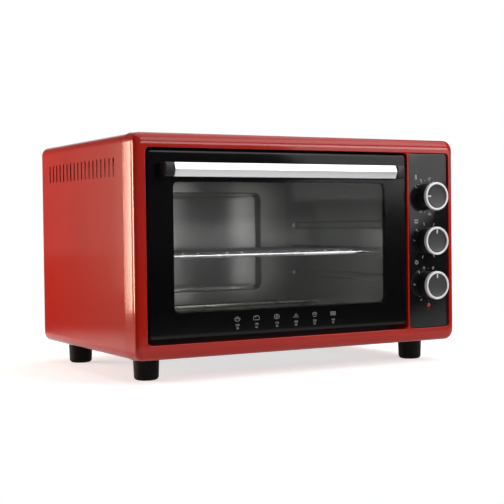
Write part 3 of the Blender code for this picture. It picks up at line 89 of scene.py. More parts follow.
# %% Camera
CAMERA_PLACE = np.array([-0.8566, FRONT - 1.3749, 0.2088])
YAW = math.radians(29.21)
PITCH = math.radians(-1.43)
ROLL = math.radians(-0.69)
SENSOR_WIDTH = 36.0
PHOTO_PIXELS = 504
FOCAL_PIXELS = 1168


def camera_matrix():
    """Columns right, up and backward: yaw and pitch give forward, roll turns right and up about it."""
    forward = Vector((math.sin(YAW) * math.cos(PITCH), math.cos(YAW) * math.cos(PITCH), math.sin(PITCH)))
    level_right = Vector((math.cos(YAW), -math.sin(YAW), 0))
    level_up = level_right.cross(forward)
    right = math.cos(ROLL) * level_right + math.sin(ROLL) * level_up
    up = -math.sin(ROLL) * level_right + math.cos(ROLL) * level_up
    matrix = Matrix((right, up, -forward)).transposed().to_4x4()
    matrix.translation = Vector(CAMERA_PLACE)
    return matrix


camera_data = bpy.data.cameras.new("camera")
camera_data.sensor_width = SENSOR_WIDTH
camera_data.lens = SENSOR_WIDTH * FOCAL_PIXELS / PHOTO_PIXELS
camera_data.clip_start = 50 * MM
camera = add_object("camera", camera_data)
camera.matrix_world = camera_matrix()
bpy.context.scene.camera = camera
print("lens", round(camera_data.lens, 1), "mm")

# %% [markdown]
# The light is a white photo studio: a big soft box above, a wall of light at the left that shines along the
# side, a strip before it that draws the bright streak down the edge of the surround, a wide box in front, a
# higher one that shows in the surround's top roll and on the handle, and a small one at the right. Two slim
# lamps behind the door's rim light the cavity and the rack's rail.

# %% Studio lights
WHITE = (1, 1, 1)
WARM = (1, 0.68, 0.52)
AIM = (0.1, -0.17, 0.3)
SIDE_HEIGHT = 0.31
DOOR_RIM = FRONT + 34 * MM
STRIP_X, STRIP_Z = 0.065, 0.18
RAIL_X, RAIL_Z = -0.035, rack_high[2]
# Each row is a place, a target, a width, a height, a power in watts and a colour.
SOFT_BOXES = {
    "top_box": ((0.3, 0.1, 1.9), (0.1, 0, 0.15), 2.4, 2.0, 21, WHITE),
    "left_wall": ((-1.46, 0.86, SIDE_HEIGHT), (-0.119, 0.19, SIDE_HEIGHT), 1.9, 0.6, 2.7, WARM),
    "left_strip": ((-1.03, 0.88, SIDE_HEIGHT), (-0.26, -0.16, SIDE_HEIGHT), 0.28, 0.62, 12.5, WARM),
    "front_box": ((1.05, -1.9, 0.95), AIM, 1.5, 0.42, 9.5, WHITE),
    "high_front": ((0.95, -1.33, 1.62), AIM, 1.5, 0.8, 10.5, WHITE),
    "right_box": ((1.3, -1.5, 0.62), (0.2, -0.17, 0.3), 0.9, 0.7, 4, WHITE),
    "cavity_strip": ((STRIP_X, DOOR_RIM, STRIP_Z), (STRIP_X, 0.14, STRIP_Z), 0.09, 0.19, 0.034, WHITE),
    "rack_light": ((RAIL_X, DOOR_RIM, RAIL_Z + 0.03), (RAIL_X, rack_low[1], RAIL_Z), 0.36, 0.004, 0.11,
                   WHITE),
}


def soft_box(name, place, target, width, height, power, color):
    """A rectangular area light at place that looks at target."""
    data = bpy.data.lights.new(name, "AREA")
    data.shape = "RECTANGLE"
    data.size = width
    data.size_y = height
    data.energy = power
    data.color = color
    turn = (Vector(target) - Vector(place)).to_track_quat("-Z", "Y")
    lamp = add_object(name, data)
    lamp.matrix_world = Matrix.Translation(place) @ turn.to_matrix().to_4x4()
    return lamp


lamps = {name: soft_box(name, *values) for name, values in SOFT_BOXES.items()}
for name in ("cavity_strip", "rack_light"):
    lamps[name].visible_camera = False
print("lights", len(lamps))

# %% [markdown]
# The world behind the oven is white for rays that the camera, a mirror-like surface or glass sends out. The
# room on the camera's side is dim for mirrors, as it is in a studio, so black glass stays black. The floor
# is a white sweep that takes the shadow near the oven.

# %% World and floor
BEHIND = (math.sin(YAW), math.cos(YAW), 0)
BACKDROP = (0.80, 0.98)
FLOOR_GLOW = 0.62
MIRRORED_GLOW = 0.25
FLOOR_PAINT = (0.8, 0.8, 0.8, 1)
FLOOR_FADE = (0.45, 0.9)
FLOOR_HALF = 6.0


def feed(tree, made, inputs):
    """Gives each named input a constant, or a link from the output that feeds it."""
    for socket, value in inputs.items():
        if isinstance(value, bpy.types.NodeSocket):
            tree.links.new(value, made.inputs[socket])
        else:
            made.inputs[socket].default_value = value


def node(tree, kind, inputs=None, **settings):
    """The outputs of a new shader node with these inputs and settings."""
    made = tree.nodes.new("ShaderNode" + kind)
    for key, value in settings.items():
        setattr(made, key, value)
    feed(tree, made, inputs or {})
    return made.outputs


def any_of(tree, first, second):
    """The larger of two outputs."""
    return node(tree, "Math", {0: first, 1: second}, operation="MAXIMUM")["Value"]


def ramp(tree, value, start, end):
    """0 below start, 1 above end and a smooth step between."""
    return node(tree, "MapRange", {"Value": value, "From Min": start, "From Max": end},
                interpolation_type="SMOOTHSTEP")["Result"]


def mix(tree, factor, first, second, kind="FLOAT"):
    """First where factor is 0, second where it is 1; kind RGBA mixes colours."""
    return node(tree, "Mix", {"Factor": factor, "A": first, "B": second}, data_type=kind)["Result"]


def towards_backdrop(tree, direction):
    """1 where a direction points to the backdrop behind the oven, 0 elsewhere."""
    along = node(tree, "VectorMath", {0: direction, 1: BEHIND}, operation="DOT_PRODUCT")
    return ramp(tree, along["Value"], *BACKDROP)


def empty_tree(owner):
    """Turns on the nodes of a world or a material and clears them."""
    owner.use_nodes = True
    owner.node_tree.nodes.clear()
    return owner.node_tree


def studio_world(ambient, room):
    """Strength is 1 for camera and glass rays, room to 1 from front to back for mirrors, else ambient."""
    world = bpy.data.worlds.new("studio")
    tree = empty_tree(world)
    rays = node(tree, "LightPath")
    mirror = mix(tree, towards_backdrop(tree, node(tree, "TexCoord")["Generated"]), room, 1.0)
    light = mix(tree, rays["Is Glossy Ray"], ambient, mirror)
    seen = any_of(tree, rays["Is Camera Ray"], rays["Is Transmission Ray"])
    white = node(tree, "Background", {"Color": (1, 1, 1, 1), "Strength": mix(tree, seen, light, 1.0)})
    node(tree, "OutputWorld", {"Surface": white[0]})
    bpy.context.scene.world = world


def floor_material():
    """Near the oven matt paint that glows a little, farther out plain white; other rays meet the paint."""
    material = bpy.data.materials.new("floor_white")
    tree = empty_tree(material)
    rays = node(tree, "LightPath")
    place = node(tree, "TexCoord")["Object"]
    backdrop = any_of(tree, rays["Is Camera Ray"], rays["Is Transmission Ray"])
    direction = node(tree, "VectorMath", {0: place}, operation="NORMALIZE")["Vector"]
    away = node(tree, "VectorMath", {0: place}, operation="LENGTH")["Value"]
    dimmed = mix(tree, rays["Is Glossy Ray"], FLOOR_GLOW, MIRRORED_GLOW)
    matt = node(tree, "BsdfDiffuse", {"Color": FLOOR_PAINT})[0]
    glow = node(tree, "Emission", {"Strength": dimmed})[0]
    white = node(tree, "Emission", {"Strength": any_of(tree, backdrop, towards_backdrop(tree, direction))})[0]
    near = node(tree, "AddShader", {0: matt, 1: glow})[0]
    seen = node(tree, "MixShader", {"Fac": ramp(tree, away, *FLOOR_FADE), 1: near, 2: white})[0]
    straight = any_of(tree, backdrop, rays["Is Glossy Ray"])
    node(tree, "OutputMaterial", {"Surface": node(tree, "MixShader", {"Fac": straight, 1: matt, 2: seen})[0]})
    return material


studio_world(ambient=0.095, room=0.10)
floor_mesh = bpy.data.meshes.new("floor")
floor_mesh.from_pydata([(x * FLOOR_HALF, y * FLOOR_HALF, 0) for x, y in ((-1, -1), (1, -1), (1, 1), (-1, 1))],
                       [], [(0, 1, 2, 3)])
floor_mesh.materials.append(floor_material())
add_object("floor", floor_mesh)
bpy.context.scene.view_settings.view_transform = "Standard"
print("world", bpy.context.scene.world.name)

# %% [markdown]
# A finish is a Principled shader plus a little unevenness. Real enamel, sheet metal and moulded plastic
# are never perfectly flat, so each material has a fine noise that tilts the surface by a hair and shifts
# its roughness. All patterns read Object coordinates: a piece's origin is the oven's origin, so they are
# in metres.

# %% Material helpers
NOISE_LOW, NOISE_HIGH = 0.3, 0.7


def principled(name, color, roughness, inputs=None):
    """A material with one Principled shader; gives back the material, its tree and the shader."""
    material = bpy.data.materials.new(name)
    material.use_nodes = True
    tree = material.node_tree
    shader = tree.nodes["Principled BSDF"]
    feed(tree, shader, {"Base Color": (*color, 1), "Roughness": roughness, **(inputs or {})})
    return material, tree, shader


def noise(tree, scale, detail=2.0, stretch=(1, 1, 1)):
    """Noise on Object coordinates; scale is in cells per metre and stretch squeezes it along an axis."""
    place = node(tree, "Mapping", {"Vector": node(tree, "TexCoord")["Object"], "Scale": stretch})["Vector"]
    return node(tree, "TexNoise", {"Vector": place, "Scale": scale, "Detail": detail})["Fac"]


def bump(tree, shader, height, strength, distance):
    """Tilts the surface by a height map; distance is the real depth in metres."""
    tilt = node(tree, "Bump", {"Height": height, "Strength": strength, "Distance": distance})
    feed(tree, shader, {"Normal": tilt["Normal"]})


def spread(tree, value, low, high):
    """Maps a noise value, which mostly lies between NOISE_LOW and NOISE_HIGH, to the range low to high."""
    return node(tree, "MapRange", {"Value": value, "From Min": NOISE_LOW, "From Max": NOISE_HIGH,
                                   "To Min": low, "To Max": high})["Result"]


# %% [markdown]
# The case is red enamel over steel: a saturated base under a clear glossy layer, with a very slight
# orange-peel waviness that softens the reflections of the soft boxes.

# %% Red enamel


def enamel():
    """Base colour and roughness drift in soft clouds; the clear layer keeps one gloss."""
    material, tree, shader = principled("red_enamel", (0.48, 0.015, 0.007), 0.34, {
        "Specular IOR Level": 0.05, "Coat Weight": 1.0, "Coat Roughness": 0.08, "Coat IOR": 1.40,
    })
    cloud = spread(tree, noise(tree, 9.0), 0, 1)
    feed(tree, shader, {
        "Base Color": mix(tree, cloud, (0.465, 0.014, 0.007, 1), (0.495, 0.016, 0.008, 1), "RGBA"),
        "Roughness": spread(tree, noise(tree, 60.0), 0.33, 0.37),
    })
    bump(tree, shader, noise(tree, 420.0), 0.04, 0.0002)
    return material


RED_ENAMEL = enamel()

# %% [markdown]
# Sheet metal inside and behind is grey and only half shiny. A noise stretched along one axis gives the
# faint rolling lines of the sheet. The cavity is the brightest of them, the zinc sheet is duller.

# %% Sheet metals
ALONG_X, ALONG_Z, EVEN = (0.05, 1, 1), (1, 1, 0.06), (1, 1, 1)


def rolled_sheet(name, color, roughness, stretch, metallic=1.0, grain=260.0, streak=0.06, depth=0.00005):
    """Metal sheet whose roughness and tilt follow a noise that is stretched along the rolling direction."""
    material, tree, shader = principled(name, color, roughness, {"Metallic": metallic})
    lines = noise(tree, grain, 3.0, stretch)
    feed(tree, shader, {"Roughness": spread(tree, lines, roughness - streak / 2, roughness + streak / 2)})
    bump(tree, shader, lines, 0.08, depth)
    return material


CAVITY_METAL = rolled_sheet("cavity_metal", (0.66, 0.67, 0.65), 0.20, ALONG_Z, 0.7, 260.0, 0.03, 0.00002)
ZINC = rolled_sheet("zinc_plate", (0.45, 0.46, 0.47), 0.42, ALONG_X)
FRONT_STEEL = rolled_sheet("dark_front_steel", (0.014, 0.014, 0.015), 0.55, ALONG_X, 0.2)
SHEATH = rolled_sheet("heater_sheath", (0.55, 0.52, 0.46), 0.26, ALONG_X)
PLATED = rolled_sheet("plated_steel", (0.52, 0.53, 0.54), 0.30, EVEN)
COPPER = rolled_sheet("bare_copper", (0.62, 0.30, 0.18), 0.32, EVEN)

# %% [markdown]
# Bright parts: the rack is chromed wire, the knob rings are bright plated plastic, and the handle bar is
# anodised aluminium whose brushing runs along its length.

# %% Bright metals
CHROME = rolled_sheet("chromed_wire", (0.82, 0.83, 0.84), 0.20, EVEN, 0.9, 500.0)
RING = rolled_sheet("bright_ring", (0.92, 0.93, 0.94), 0.42, EVEN, 0.25, 900.0, 0.08)
ALUMINIUM = rolled_sheet("brushed_aluminium", (0.88, 0.89, 0.90), 0.38, (0.01, 1, 1), 0.8, 2600.0, 0.08)

# %% [markdown]
# Blacks differ mostly by their gloss. The glass border and the control panel are the glossiest, knobs and
# handle blocks are satin, and feet are matt. The knob face is the knob's own black plastic in a lighter
# grey, a painted sheen. The panes let most light through and still mirror.

# %% Black glass, gloss and satin plastics, rubber, panes and inks


def moulded(name, color, roughness, grain, depth, specular=0.5):
    """Moulded plastic or rubber: a fine skin texture in tilt and roughness."""
    material, tree, shader = principled(name, color, roughness, {"Specular IOR Level": specular})
    texture = noise(tree, grain, 3.0)
    bump(tree, shader, texture, 0.2, depth)
    feed(tree, shader, {"Roughness": spread(tree, texture, roughness * 0.85, roughness * 1.15)})
    return material


BLACK_GLASS = moulded("black_glass_print", (0.0035, 0.0035, 0.0037), 0.14, 90.0, 0.00002, 0.25)
PANEL_BLACK = moulded("panel_gloss", (0.009, 0.0095, 0.0095), 0.12, 140.0, 0.00003, 0.35)
SATIN_BLACK = moulded("satin_black_plastic", (0.010, 0.0105, 0.011), 0.36, 1800.0, 0.00006)
# Painted sheen: the knob face is the cap's black plastic, coloured a lighter grey for the sheen on its front.
KNOB_FACE_SHEEN = moulded("knob_face_painted_sheen", (0.050, 0.050, 0.052), 0.36, 2200.0, 0.00006)
DARK_PLASTIC = moulded("dark_plastic", (0.045, 0.045, 0.05), 0.5, 1500.0, 0.00006)
BLACK_STEEL = moulded("black_painted_steel", (0.008, 0.008, 0.009), 0.40, 900.0, 0.00004)
RUBBER = moulded("foot_rubber", (0.003, 0.003, 0.0032), 0.5, 1600.0, 0.0001, 0.15)
CERAMIC = moulded("cream_ceramic", (0.75, 0.70, 0.60), 0.5, 900.0, 0.0001)
SLEEVE = moulded("woven_sleeve", (0.45, 0.41, 0.33), 0.7, 2400.0, 0.0002)


def clear_pane(name, alpha):
    """A pane that lets most light through and still mirrors: a dark glossy shader at a low alpha."""
    inputs = {"Specular IOR Level": 0.35, "Alpha": alpha}
    material, tree, shader = principled(name, (0.02, 0.022, 0.022), 0.03, inputs)
    bump(tree, shader, noise(tree, 25.0), 0.04, 0.00004)
    return material


def lamp_lens():
    """Red lens: a clear coat over saturated plastic."""
    material, tree, shader = principled("red_lens", (0.42, 0.012, 0.010), 0.18, {"Coat Weight": 0.6})
    bump(tree, shader, noise(tree, 1500.0), 0.1, 0.00005)
    return material


def paint(name, color):
    """Silk-screen ink: matt and even, with a slightly patchy cover."""
    material, tree, shader = principled(name, color, 0.55)
    patch = spread(tree, noise(tree, 3000.0), 0, 1)
    worn = (*(0.82 * channel for channel in color), 1)
    feed(tree, shader, {"Base Color": mix(tree, patch, worn, (*color, 1), "RGBA")})
    return material


OUTER_PANE = clear_pane("outer_pane", 0.20)
INNER_PANE = clear_pane("inner_pane", 0.06)
LENS = lamp_lens()
WHITE_INK = paint("white_ink", (0.80, 0.80, 0.80))
GREY_INK = paint("grey_ink", (0.42, 0.42, 0.41))
RED_INK = paint("red_ink", (0.30, 0.03, 0.025))
print("materials", len(bpy.data.materials))

# %% [markdown]
# Solids that look right as they are stay, and only get their finish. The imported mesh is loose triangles
# with flat shading, which suits folded sheet. Round ones are copied further down, merged and shaded smooth.

# %% Finishes of the nodes that stay
NODE_FINISH = [
    (FRONT_STEEL, ["front_plate"]), (INNER_PANE, ["door_inner_glass"]), (CERAMIC, ["terminal_block"]),
    (BLACK_STEEL, ["door_frame", "glass_retainer"]), (DARK_PLASTIC, ["selector_switch_body"]),
    (CAVITY_METAL, ["cavity_floor", "cavity_ceiling"]),
    (ZINC, ["base_plate", "back_panel", "partition_wall", "control_bracket", "lower_heater_clip",
            "upper_heater_clip", "thermostat_body", "timer_body",
            *[pair + side for pair in ("hinge_bracket_", "door_stay_") for side in SIDES]]),
]

for material, names in NODE_FINISH:
    for name in names:
        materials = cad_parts[name].data.materials
        materials.clear()
        materials.append(material)
print("finishes of nodes that stay", len(NODE_FINISH))

# %% [markdown]
# Now the tools for new pieces. A loop is a closed ring of points; rows of loops with the same number of
# points make a skin. A rounded rectangle has an arc in each corner, plus one extra point just past each
# end of the arc. Those extra points keep the shading of the flat sides flat.

# %% Arcs, loops and skins
EASE = 0.5 * MM
LEAST_RADIUS = 0.05 * MM


def arc(centre, radius, start_deg, end_deg, steps):
    """Points centre + radius * (cos t, sin t); radius is one length, or a pair for an ellipse."""
    turn = np.radians(np.linspace(start_deg, end_deg, steps))
    return np.array(centre) + np.array(radius) * np.column_stack([np.cos(turn), np.sin(turn)])


def circle(centre, radius, sides):
    return arc(centre, radius, 0, 360, sides + 1)[:-1]


def quarter_roll(steps):
    """Pairs (1 - cos t, 1 - sin t) over a quarter turn: the two ways in which a rolled edge moves."""
    return [(1 - math.cos(turn), 1 - math.sin(turn)) for turn in np.linspace(0, math.pi / 2, steps)]


def rounded_loop(x, z, radius, steps=8):
    """Rounded rectangle, anticlockwise: a quarter arc in each corner and a point EASE past each arc's ends."""
    radius = max(radius, LEAST_RADIUS)
    centres = [(x[1] - radius, z[0] + radius), (x[1] - radius, z[1] - radius),
               (x[0] + radius, z[1] - radius), (x[0] + radius, z[0] + radius)]
    pieces = []
    for quarter, centre in enumerate(centres):
        corner = arc(centre, radius, 90 * (quarter - 1), 90 * quarter, steps)
        start, end = math.radians(90 * (quarter - 1)), math.radians(90 * quarter)
        before = corner[0] - EASE * np.array([-math.sin(start), math.cos(start)])
        after = corner[-1] + EASE * np.array([-math.sin(end), math.cos(end)])
        pieces += [[before], corner, [after]]
    return np.concatenate(pieces)


def at_depth(loop, y):
    """Stands a flat (x, z) loop up at depth y."""
    return np.column_stack([loop[:, 0], np.full(len(loop), y), loop[:, 1]])


def row_at(span, inset, radius, y, steps=8):
    """A rounded rectangle at depth y whose x and z spans are smaller by inset at both ends."""
    x, z = ((low + inset, high - inset) for low, high in span)
    return at_depth(rounded_loop(x, z, radius, steps), y)


BOTH_ENDS = ("start", "end")


def skin(rows, caps=(), around=True, along=False):
    """Vertices and quads of a grid of rows: point j of row i joins point j + 1 and the same two of row i + 1.

    around closes each row, along joins the last row to the first, and caps names the ends that get a face."""
    rows = np.asarray(rows, float)
    count, width = rows.shape[:2]
    index = np.arange(count * width).reshape(count, width)
    here, ahead = (index, np.roll(index, -1, axis=1)) if around else (index[:, :-1], index[:, 1:])
    if along:
        corners = [here, ahead, np.roll(ahead, -1, axis=0), np.roll(here, -1, axis=0)]
    else:
        corners = [here[:-1], ahead[:-1], ahead[1:], here[1:]]
    faces = np.stack(corners, axis=-1).reshape(-1, 4).tolist()
    if "start" in caps:
        faces.append(index[0][::-1].tolist())
    if "end" in caps:
        faces.append(index[-1].tolist())
    return rows.reshape(-1, 3), faces


def plate(outline, back, front):
    """A flat (x, z) outline as a solid between two depths."""
    return skin([at_depth(np.asarray(outline), back), at_depth(np.asarray(outline), front)], caps=BOTH_ENDS)


def join_parts(parts):
    """Several (vertices, faces) pairs as one pair."""
    points, faces, start = [], [], 0
    for vertices, part_faces in parts:
        points.append(np.asarray(vertices, float).reshape(-1, 3))
        faces += [[start + i for i in face] for face in part_faces]
        start += len(points[-1])
    return np.concatenate(points), faces


def flat_with_holes(outline, holes):
    """A flat face filled around its holes; all rings are lists of points in one plane."""
    rings = [outline, *holes]
    fill = tessellate_polygon([[Vector(point) for point in ring] for ring in rings])
    return np.concatenate(rings), [list(face) for face in fill]


# %% [markdown]
# Each piece becomes one mesh object. Seams are merged, faces turned outwards, and sharp edges marked where
# two faces meet at a large angle. Sheets start as open skins; the Solidify modifier gives them their gauge.

# %% The function that adds a piece
MERGE = 0.005 * MM


def evaluated_mesh(item):
    """The mesh of an object with its modifiers or its curve applied."""
    bpy.context.view_layer.update()
    return bpy.data.meshes.new_from_object(item.evaluated_get(bpy.context.evaluated_depsgraph_get()))


def faces_away(mesh, inside):
    """Turns an open skin so that its faces look away from the point inside."""
    middle, normal, area = (np.array([getattr(face, key) for face in mesh.polygons])
                            for key in ("center", "normal", "area"))
    if (area * ((middle - np.array(inside)) * normal).sum(1)).sum() < 0:
        mesh.flip_normals()


def thickened(item, wall):
    """The mesh of the item after Solidify with an even wall on the inner side."""
    solid = item.modifiers.new("wall", "SOLIDIFY")
    solid.thickness = wall
    solid.offset = -1
    mesh = evaluated_mesh(item)
    item.modifiers.clear()
    return mesh


def add_piece(name, shape, material, body, replaces=(), sharp_deg=35, wall=None, inside=None):
    """A mesh object of (vertices, faces) with merged seams, faces turned outwards and ties to its body."""
    mesh = bpy.data.meshes.new(name)
    mesh.from_pydata(shape[0].tolist(), [], shape[1])
    bm = bmesh.new()
    bm.from_mesh(mesh)
    bmesh.ops.remove_doubles(bm, verts=bm.verts, dist=MERGE)
    bmesh.ops.recalc_face_normals(bm, faces=bm.faces)
    bm.to_mesh(mesh)
    bm.free()
    item = add_object(name, mesh)
    if wall:
        faces_away(mesh, inside)
        mesh = thickened(item, wall)
        item.data = mesh
    mesh.shade_smooth()
    mesh.set_sharp_from_angle(angle=math.radians(sharp_deg))
    mesh.materials.clear()
    mesh.materials.append(material)
    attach(item, body)
    if replaces:
        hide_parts(*replaces)
    return item


# %% [markdown]
# The surround is pressed from one sheet: its outer edge rolls over a large radius, its face is flat, and
# its two openings roll in over a small radius. The rolls are rows of loops at a growing inset, and the flat
# face is filled between the outer loop and the two opening loops.

# %% Surround
EDGE_RADIUS = 11 * MM
# Reach and power of the left, right, bottom and top rolls.
EDGE_REACH = ((12 * MM, 2.2), (10.5 * MM, 1), (16 * MM, 1), (18 * MM, 1))
CORNER_RADIUS = 14 * MM
CORNER_STEPS = 12
SEAM_RADIUS = 0.9 * MM
DRAFT = 1.3 * MM
LEAN_ROWS = (0.04, 0.96)
LIP_ROLL = 0.9 * MM
OPENING_CORNER = 6 * MM
LIP_DEPTH = 24.6 * MM
DOOR_GAP_LOW = np.array([3.5, 0, 7.3]) * MM
DOOR_GAP_HIGH = np.array([2.5, 0, 3.6]) * MM
PANEL_GAP = 0.3 * MM
FRAME_SHEET = 1 * MM
HEART = (0, (FRONT + REAR) / 2, (frame_low[2] + frame_high[2]) / 2)

door_opening = spans(glass_low - DOOR_GAP_LOW, glass_high + DOOR_GAP_HIGH)
panel_opening = spans(panel_low - PANEL_GAP, panel_high + PANEL_GAP)


def rolled_lip(opening):
    """Rows from the flat face into an opening: a quarter circle of the roll, then straight back."""
    rows = [row_at(opening, -LIP_ROLL * out, OPENING_CORNER + LIP_ROLL * out, FRONT + LIP_ROLL * back)
            for back, out in quarter_roll(6)]
    straight = (LIP_ROLL + EASE, LIP_DEPTH)
    return rows + [row_at(opening, 0, OPENING_CORNER, FRONT + depth) for depth in straight]


def surround():
    """Outer rows follow inset A(1 - cos t) and depth R(1 - sin t), with another reach A on each side.

    The sides lean in by DRAFT from the seam to the roll, and the left roll is a little squarer than others."""
    box = box_x, box_z = spans(frame_low, frame_high)
    rows = []
    for back, inset in SEAM_RADIUS * np.array(quarter_roll(5)):
        rows.append(row_at(box, inset, CORNER_RADIUS - inset, frame_high[1] - back, CORNER_STEPS))
    seam_end, roll_start = frame_high[1] - SEAM_RADIUS, FRONT + EDGE_RADIUS
    for lean in LEAN_ROWS:
        y = seam_end + (roll_start - seam_end) * lean
        rows.append(row_at(box, DRAFT * lean, CORNER_RADIUS - DRAFT * lean, y, CORNER_STEPS))
    for share, depth in quarter_roll(16):
        left, right, bottom, top = (DRAFT + (reach - DRAFT) * share ** power for reach, power in EDGE_REACH)
        inner = ((box_x[0] + left, box_x[1] - right), (box_z[0] + bottom, box_z[1] - top))
        radius = CORNER_RADIUS - DRAFT - (CORNER_RADIUS - DRAFT - OPENING_CORNER) * share
        rows.append(row_at(inner, 0, radius, FRONT + EDGE_RADIUS * depth, CORNER_STEPS))
    lips = [rolled_lip(door_opening), rolled_lip(panel_opening)]
    flat = flat_with_holes(rows[-1], [lip[0] for lip in lips])
    return join_parts([skin(rows), flat, *(skin(lip) for lip in lips)])


surround_piece = add_piece("surround", surround(), RED_ENAMEL, "oven", ["front_frame"],
                           wall=FRAME_SHEET, inside=HEART)
print("surround faces", len(surround_piece.data.polygons))

# %% [markdown]
# The case is one sheet wrapped round top, sides and underside. It is a stack of rounded rectangles along
# Y that rolls in at the back and ends in a flat rim. Three of its flat sides have holes: the slots in both
# sides and the hatch underneath. Those flats are left out of the stack and filled around their holes.

# %% Case wrap
THIN_SHEET = 0.8 * MM
CASE_CORNER = 13 * MM
CASE_STEPS = 10
SEAM_ROLL = 2 * MM
ROLL_ROWS = 5
REAR_EDGE = 9 * MM
REAR_RIM = 18 * MM
VENT_COUNT = 18
VENT_FIRST = 68 * MM
VENT_LAST = 43 * MM
VENT_WIDTH = 4.1 * MM
VENT_HEIGHT = 26 * MM
VENT_MIDDLE = frame_high[2] - 44 * MM
HATCH_MARGIN = 100 * MM
HATCH_SIDE = 81 * MM
HATCH_CORNER = 3 * MM

VENT_PITCH = (REAR - VENT_LAST - FRONT - VENT_FIRST) / (VENT_COUNT - 1)
vent_edges = FRONT + VENT_FIRST + VENT_PITCH * (np.arange(VENT_COUNT + 1) - 0.5)


def case_rows():
    """Loops along Y: the seam's roll, one at each edge of a slot's cell, the rear roll and the rim."""
    case = spans(cover_low, cover_high)
    places = [(SEAM_ROLL * inset, cover_low[1] + SEAM_ROLL * depth)
              for inset, depth in reversed(quarter_roll(ROLL_ROWS))]
    places += [(0, y) for y in (cover_low[1] + SEAM_ROLL + EASE, *vent_edges, REAR - REAR_EDGE - EASE)]
    places += [(REAR_EDGE * inset, REAR - REAR_EDGE * depth) for inset, depth in quarter_roll(9)]
    places += [(REAR_EDGE + EASE, REAR), (REAR_RIM, REAR)]
    return [row_at(case, inset, CASE_CORNER - min(inset, REAR_EDGE), y, CASE_STEPS) for inset, y in places]


def slot_ring(wall, y):
    """The outline of one side slot in the plane x = wall: two half circles joined by straight sides."""
    radius = VENT_WIDTH / 2
    half = VENT_HEIGHT / 2 - radius
    ring = np.concatenate([arc((y, VENT_MIDDLE + half), radius, 0, 180, 9),
                           arc((y, VENT_MIDDLE - half), radius, 180, 360, 9)])
    return np.column_stack([np.full(len(ring), wall), ring])


def hatch_ring():
    """The opening in the underside, in the plane of the case's bottom."""
    x = (frame_low[0] + HATCH_SIDE, frame_high[0] - HATCH_SIDE)
    ring = rounded_loop(x, (FRONT + HATCH_MARGIN, REAR - HATCH_MARGIN), HATCH_CORNER)
    return np.column_stack([ring, np.full(len(ring), cover_low[2])])


def case_wrap():
    """The stack without its slotted and bottom flats, plus those flats filled round their holes."""
    rows = case_rows()
    width = len(rows[0])
    points, faces = skin(rows)
    shapes = []
    dropped = set()
    for quarter in (1, 3):
        start, end = quarter * width // 4 - 1, quarter * width // 4
        for cell in range(VENT_COUNT):
            number = cell + ROLL_ROWS + 1
            near, far = rows[number], rows[number + 1]
            corners = np.array([near[start], near[end], far[end], far[start]])
            middle = (vent_edges[cell] + vent_edges[cell + 1]) / 2
            shapes.append(flat_with_holes(corners, [slot_ring(near[start][0], middle)]))
            dropped.add(number * width + start)
    straight = range(ROLL_ROWS - 1, ROLL_ROWS + VENT_COUNT + 3)
    under = [rows[i][-1] for i in straight] + [rows[i][0] for i in reversed(straight)]
    shapes.append(flat_with_holes(np.array(under), [hatch_ring()]))
    dropped |= {i * width + width - 1 for i in straight[:-1]}
    kept = [face for number, face in enumerate(faces) if number not in dropped]
    return join_parts([(points, kept), *shapes])


case_piece = add_piece("case_wrap", case_wrap(), RED_ENAMEL, "oven", ["outer_cover"],
                       wall=THIN_SHEET, inside=HEART)
print("case faces", len(case_piece.data.polygons), "slots", 2 * VENT_COUNT)

# %% [markdown]
# The door glass is one pane with a black print round a clear window. It is made as two pieces that meet at
# the window's edge: a border with a rounded rim, and the clear pane that fills it.

# %% Door glass
PANE_CORNER = 5 * MM
PANE_EDGE = 1.2 * MM
WINDOW_CORNER = 8 * MM
WINDOW_SIDE, WINDOW_TOP, WINDOW_BOTTOM = 36 * MM, 40.4 * MM, 33.4 * MM
GLASS_FRONT, GLASS_BACK = glass_low[1], glass_high[1]
window_x = (glass_low[0] + WINDOW_SIDE, glass_high[0] - WINDOW_SIDE)
window_z = (glass_low[2] + WINDOW_BOTTOM, glass_high[2] - WINDOW_TOP)
window = rounded_loop(window_x, window_z, WINDOW_CORNER)


def slab_rows(span, corner, edge, front, back):
    """Loops of a plate from its back to its front, where the rim rolls in over a quarter circle."""
    return [row_at(span, 0, corner, back),
            *(row_at(span, edge * inset, corner - edge * inset, front + edge * depth)
              for inset, depth in quarter_roll(5))]


def glass_border():
    """The rim, the front and back faces round the window, and the window's edge."""
    rows = slab_rows(spans(glass_low, glass_high), PANE_CORNER, PANE_EDGE, GLASS_FRONT, GLASS_BACK)
    front, back = at_depth(window, GLASS_FRONT), at_depth(window, GLASS_BACK)
    faces = [flat_with_holes(rows[-1], [front]), flat_with_holes(rows[0], [back])]
    return join_parts([skin(rows), *faces, skin([front, back])])


add_piece("door_glass_border", glass_border(), BLACK_GLASS, "door", ["door_glass"])
add_piece("door_window", plate(window, GLASS_BACK, GLASS_FRONT), OUTER_PANE, "door",
          ["door_glass"])
print("window", [round((high - low) / MM) for low, high in (window_x, window_z)], "mm")

# %% [markdown]
# The handle is an extruded bar with a pointed front: its upper facet looks up to the light and its lower
# facet looks down. Each corner of the profile is rounded by a small curve. Two moulded blocks hold its ends.

# %% Handle
BAR_FACET = 4 * MM
BAR_EASE = 0.7 * MM
BAR_BEVEL = 0.25 * MM
BLOCK_CORNER = 2.4 * MM
BLOCK_EDGE = 2.2 * MM
bar_low, bar_high = node_box("handle_bar")


def eased_polygon(corners, radius, steps=5):
    """Replaces each corner by a parabola between two points that lie radius away along its edges."""
    corners = np.asarray(corners, float)
    points = []
    for index, corner in enumerate(corners):
        before = corners[index - 1] - corner
        after = corners[(index + 1) % len(corners)] - corner
        start = corner + radius * before / np.linalg.norm(before)
        end = corner + radius * after / np.linalg.norm(after)
        for share in np.linspace(0, 1, steps):
            points.append((1 - share) ** 2 * start + 2 * share * (1 - share) * corner + share ** 2 * end)
    return np.array(points)


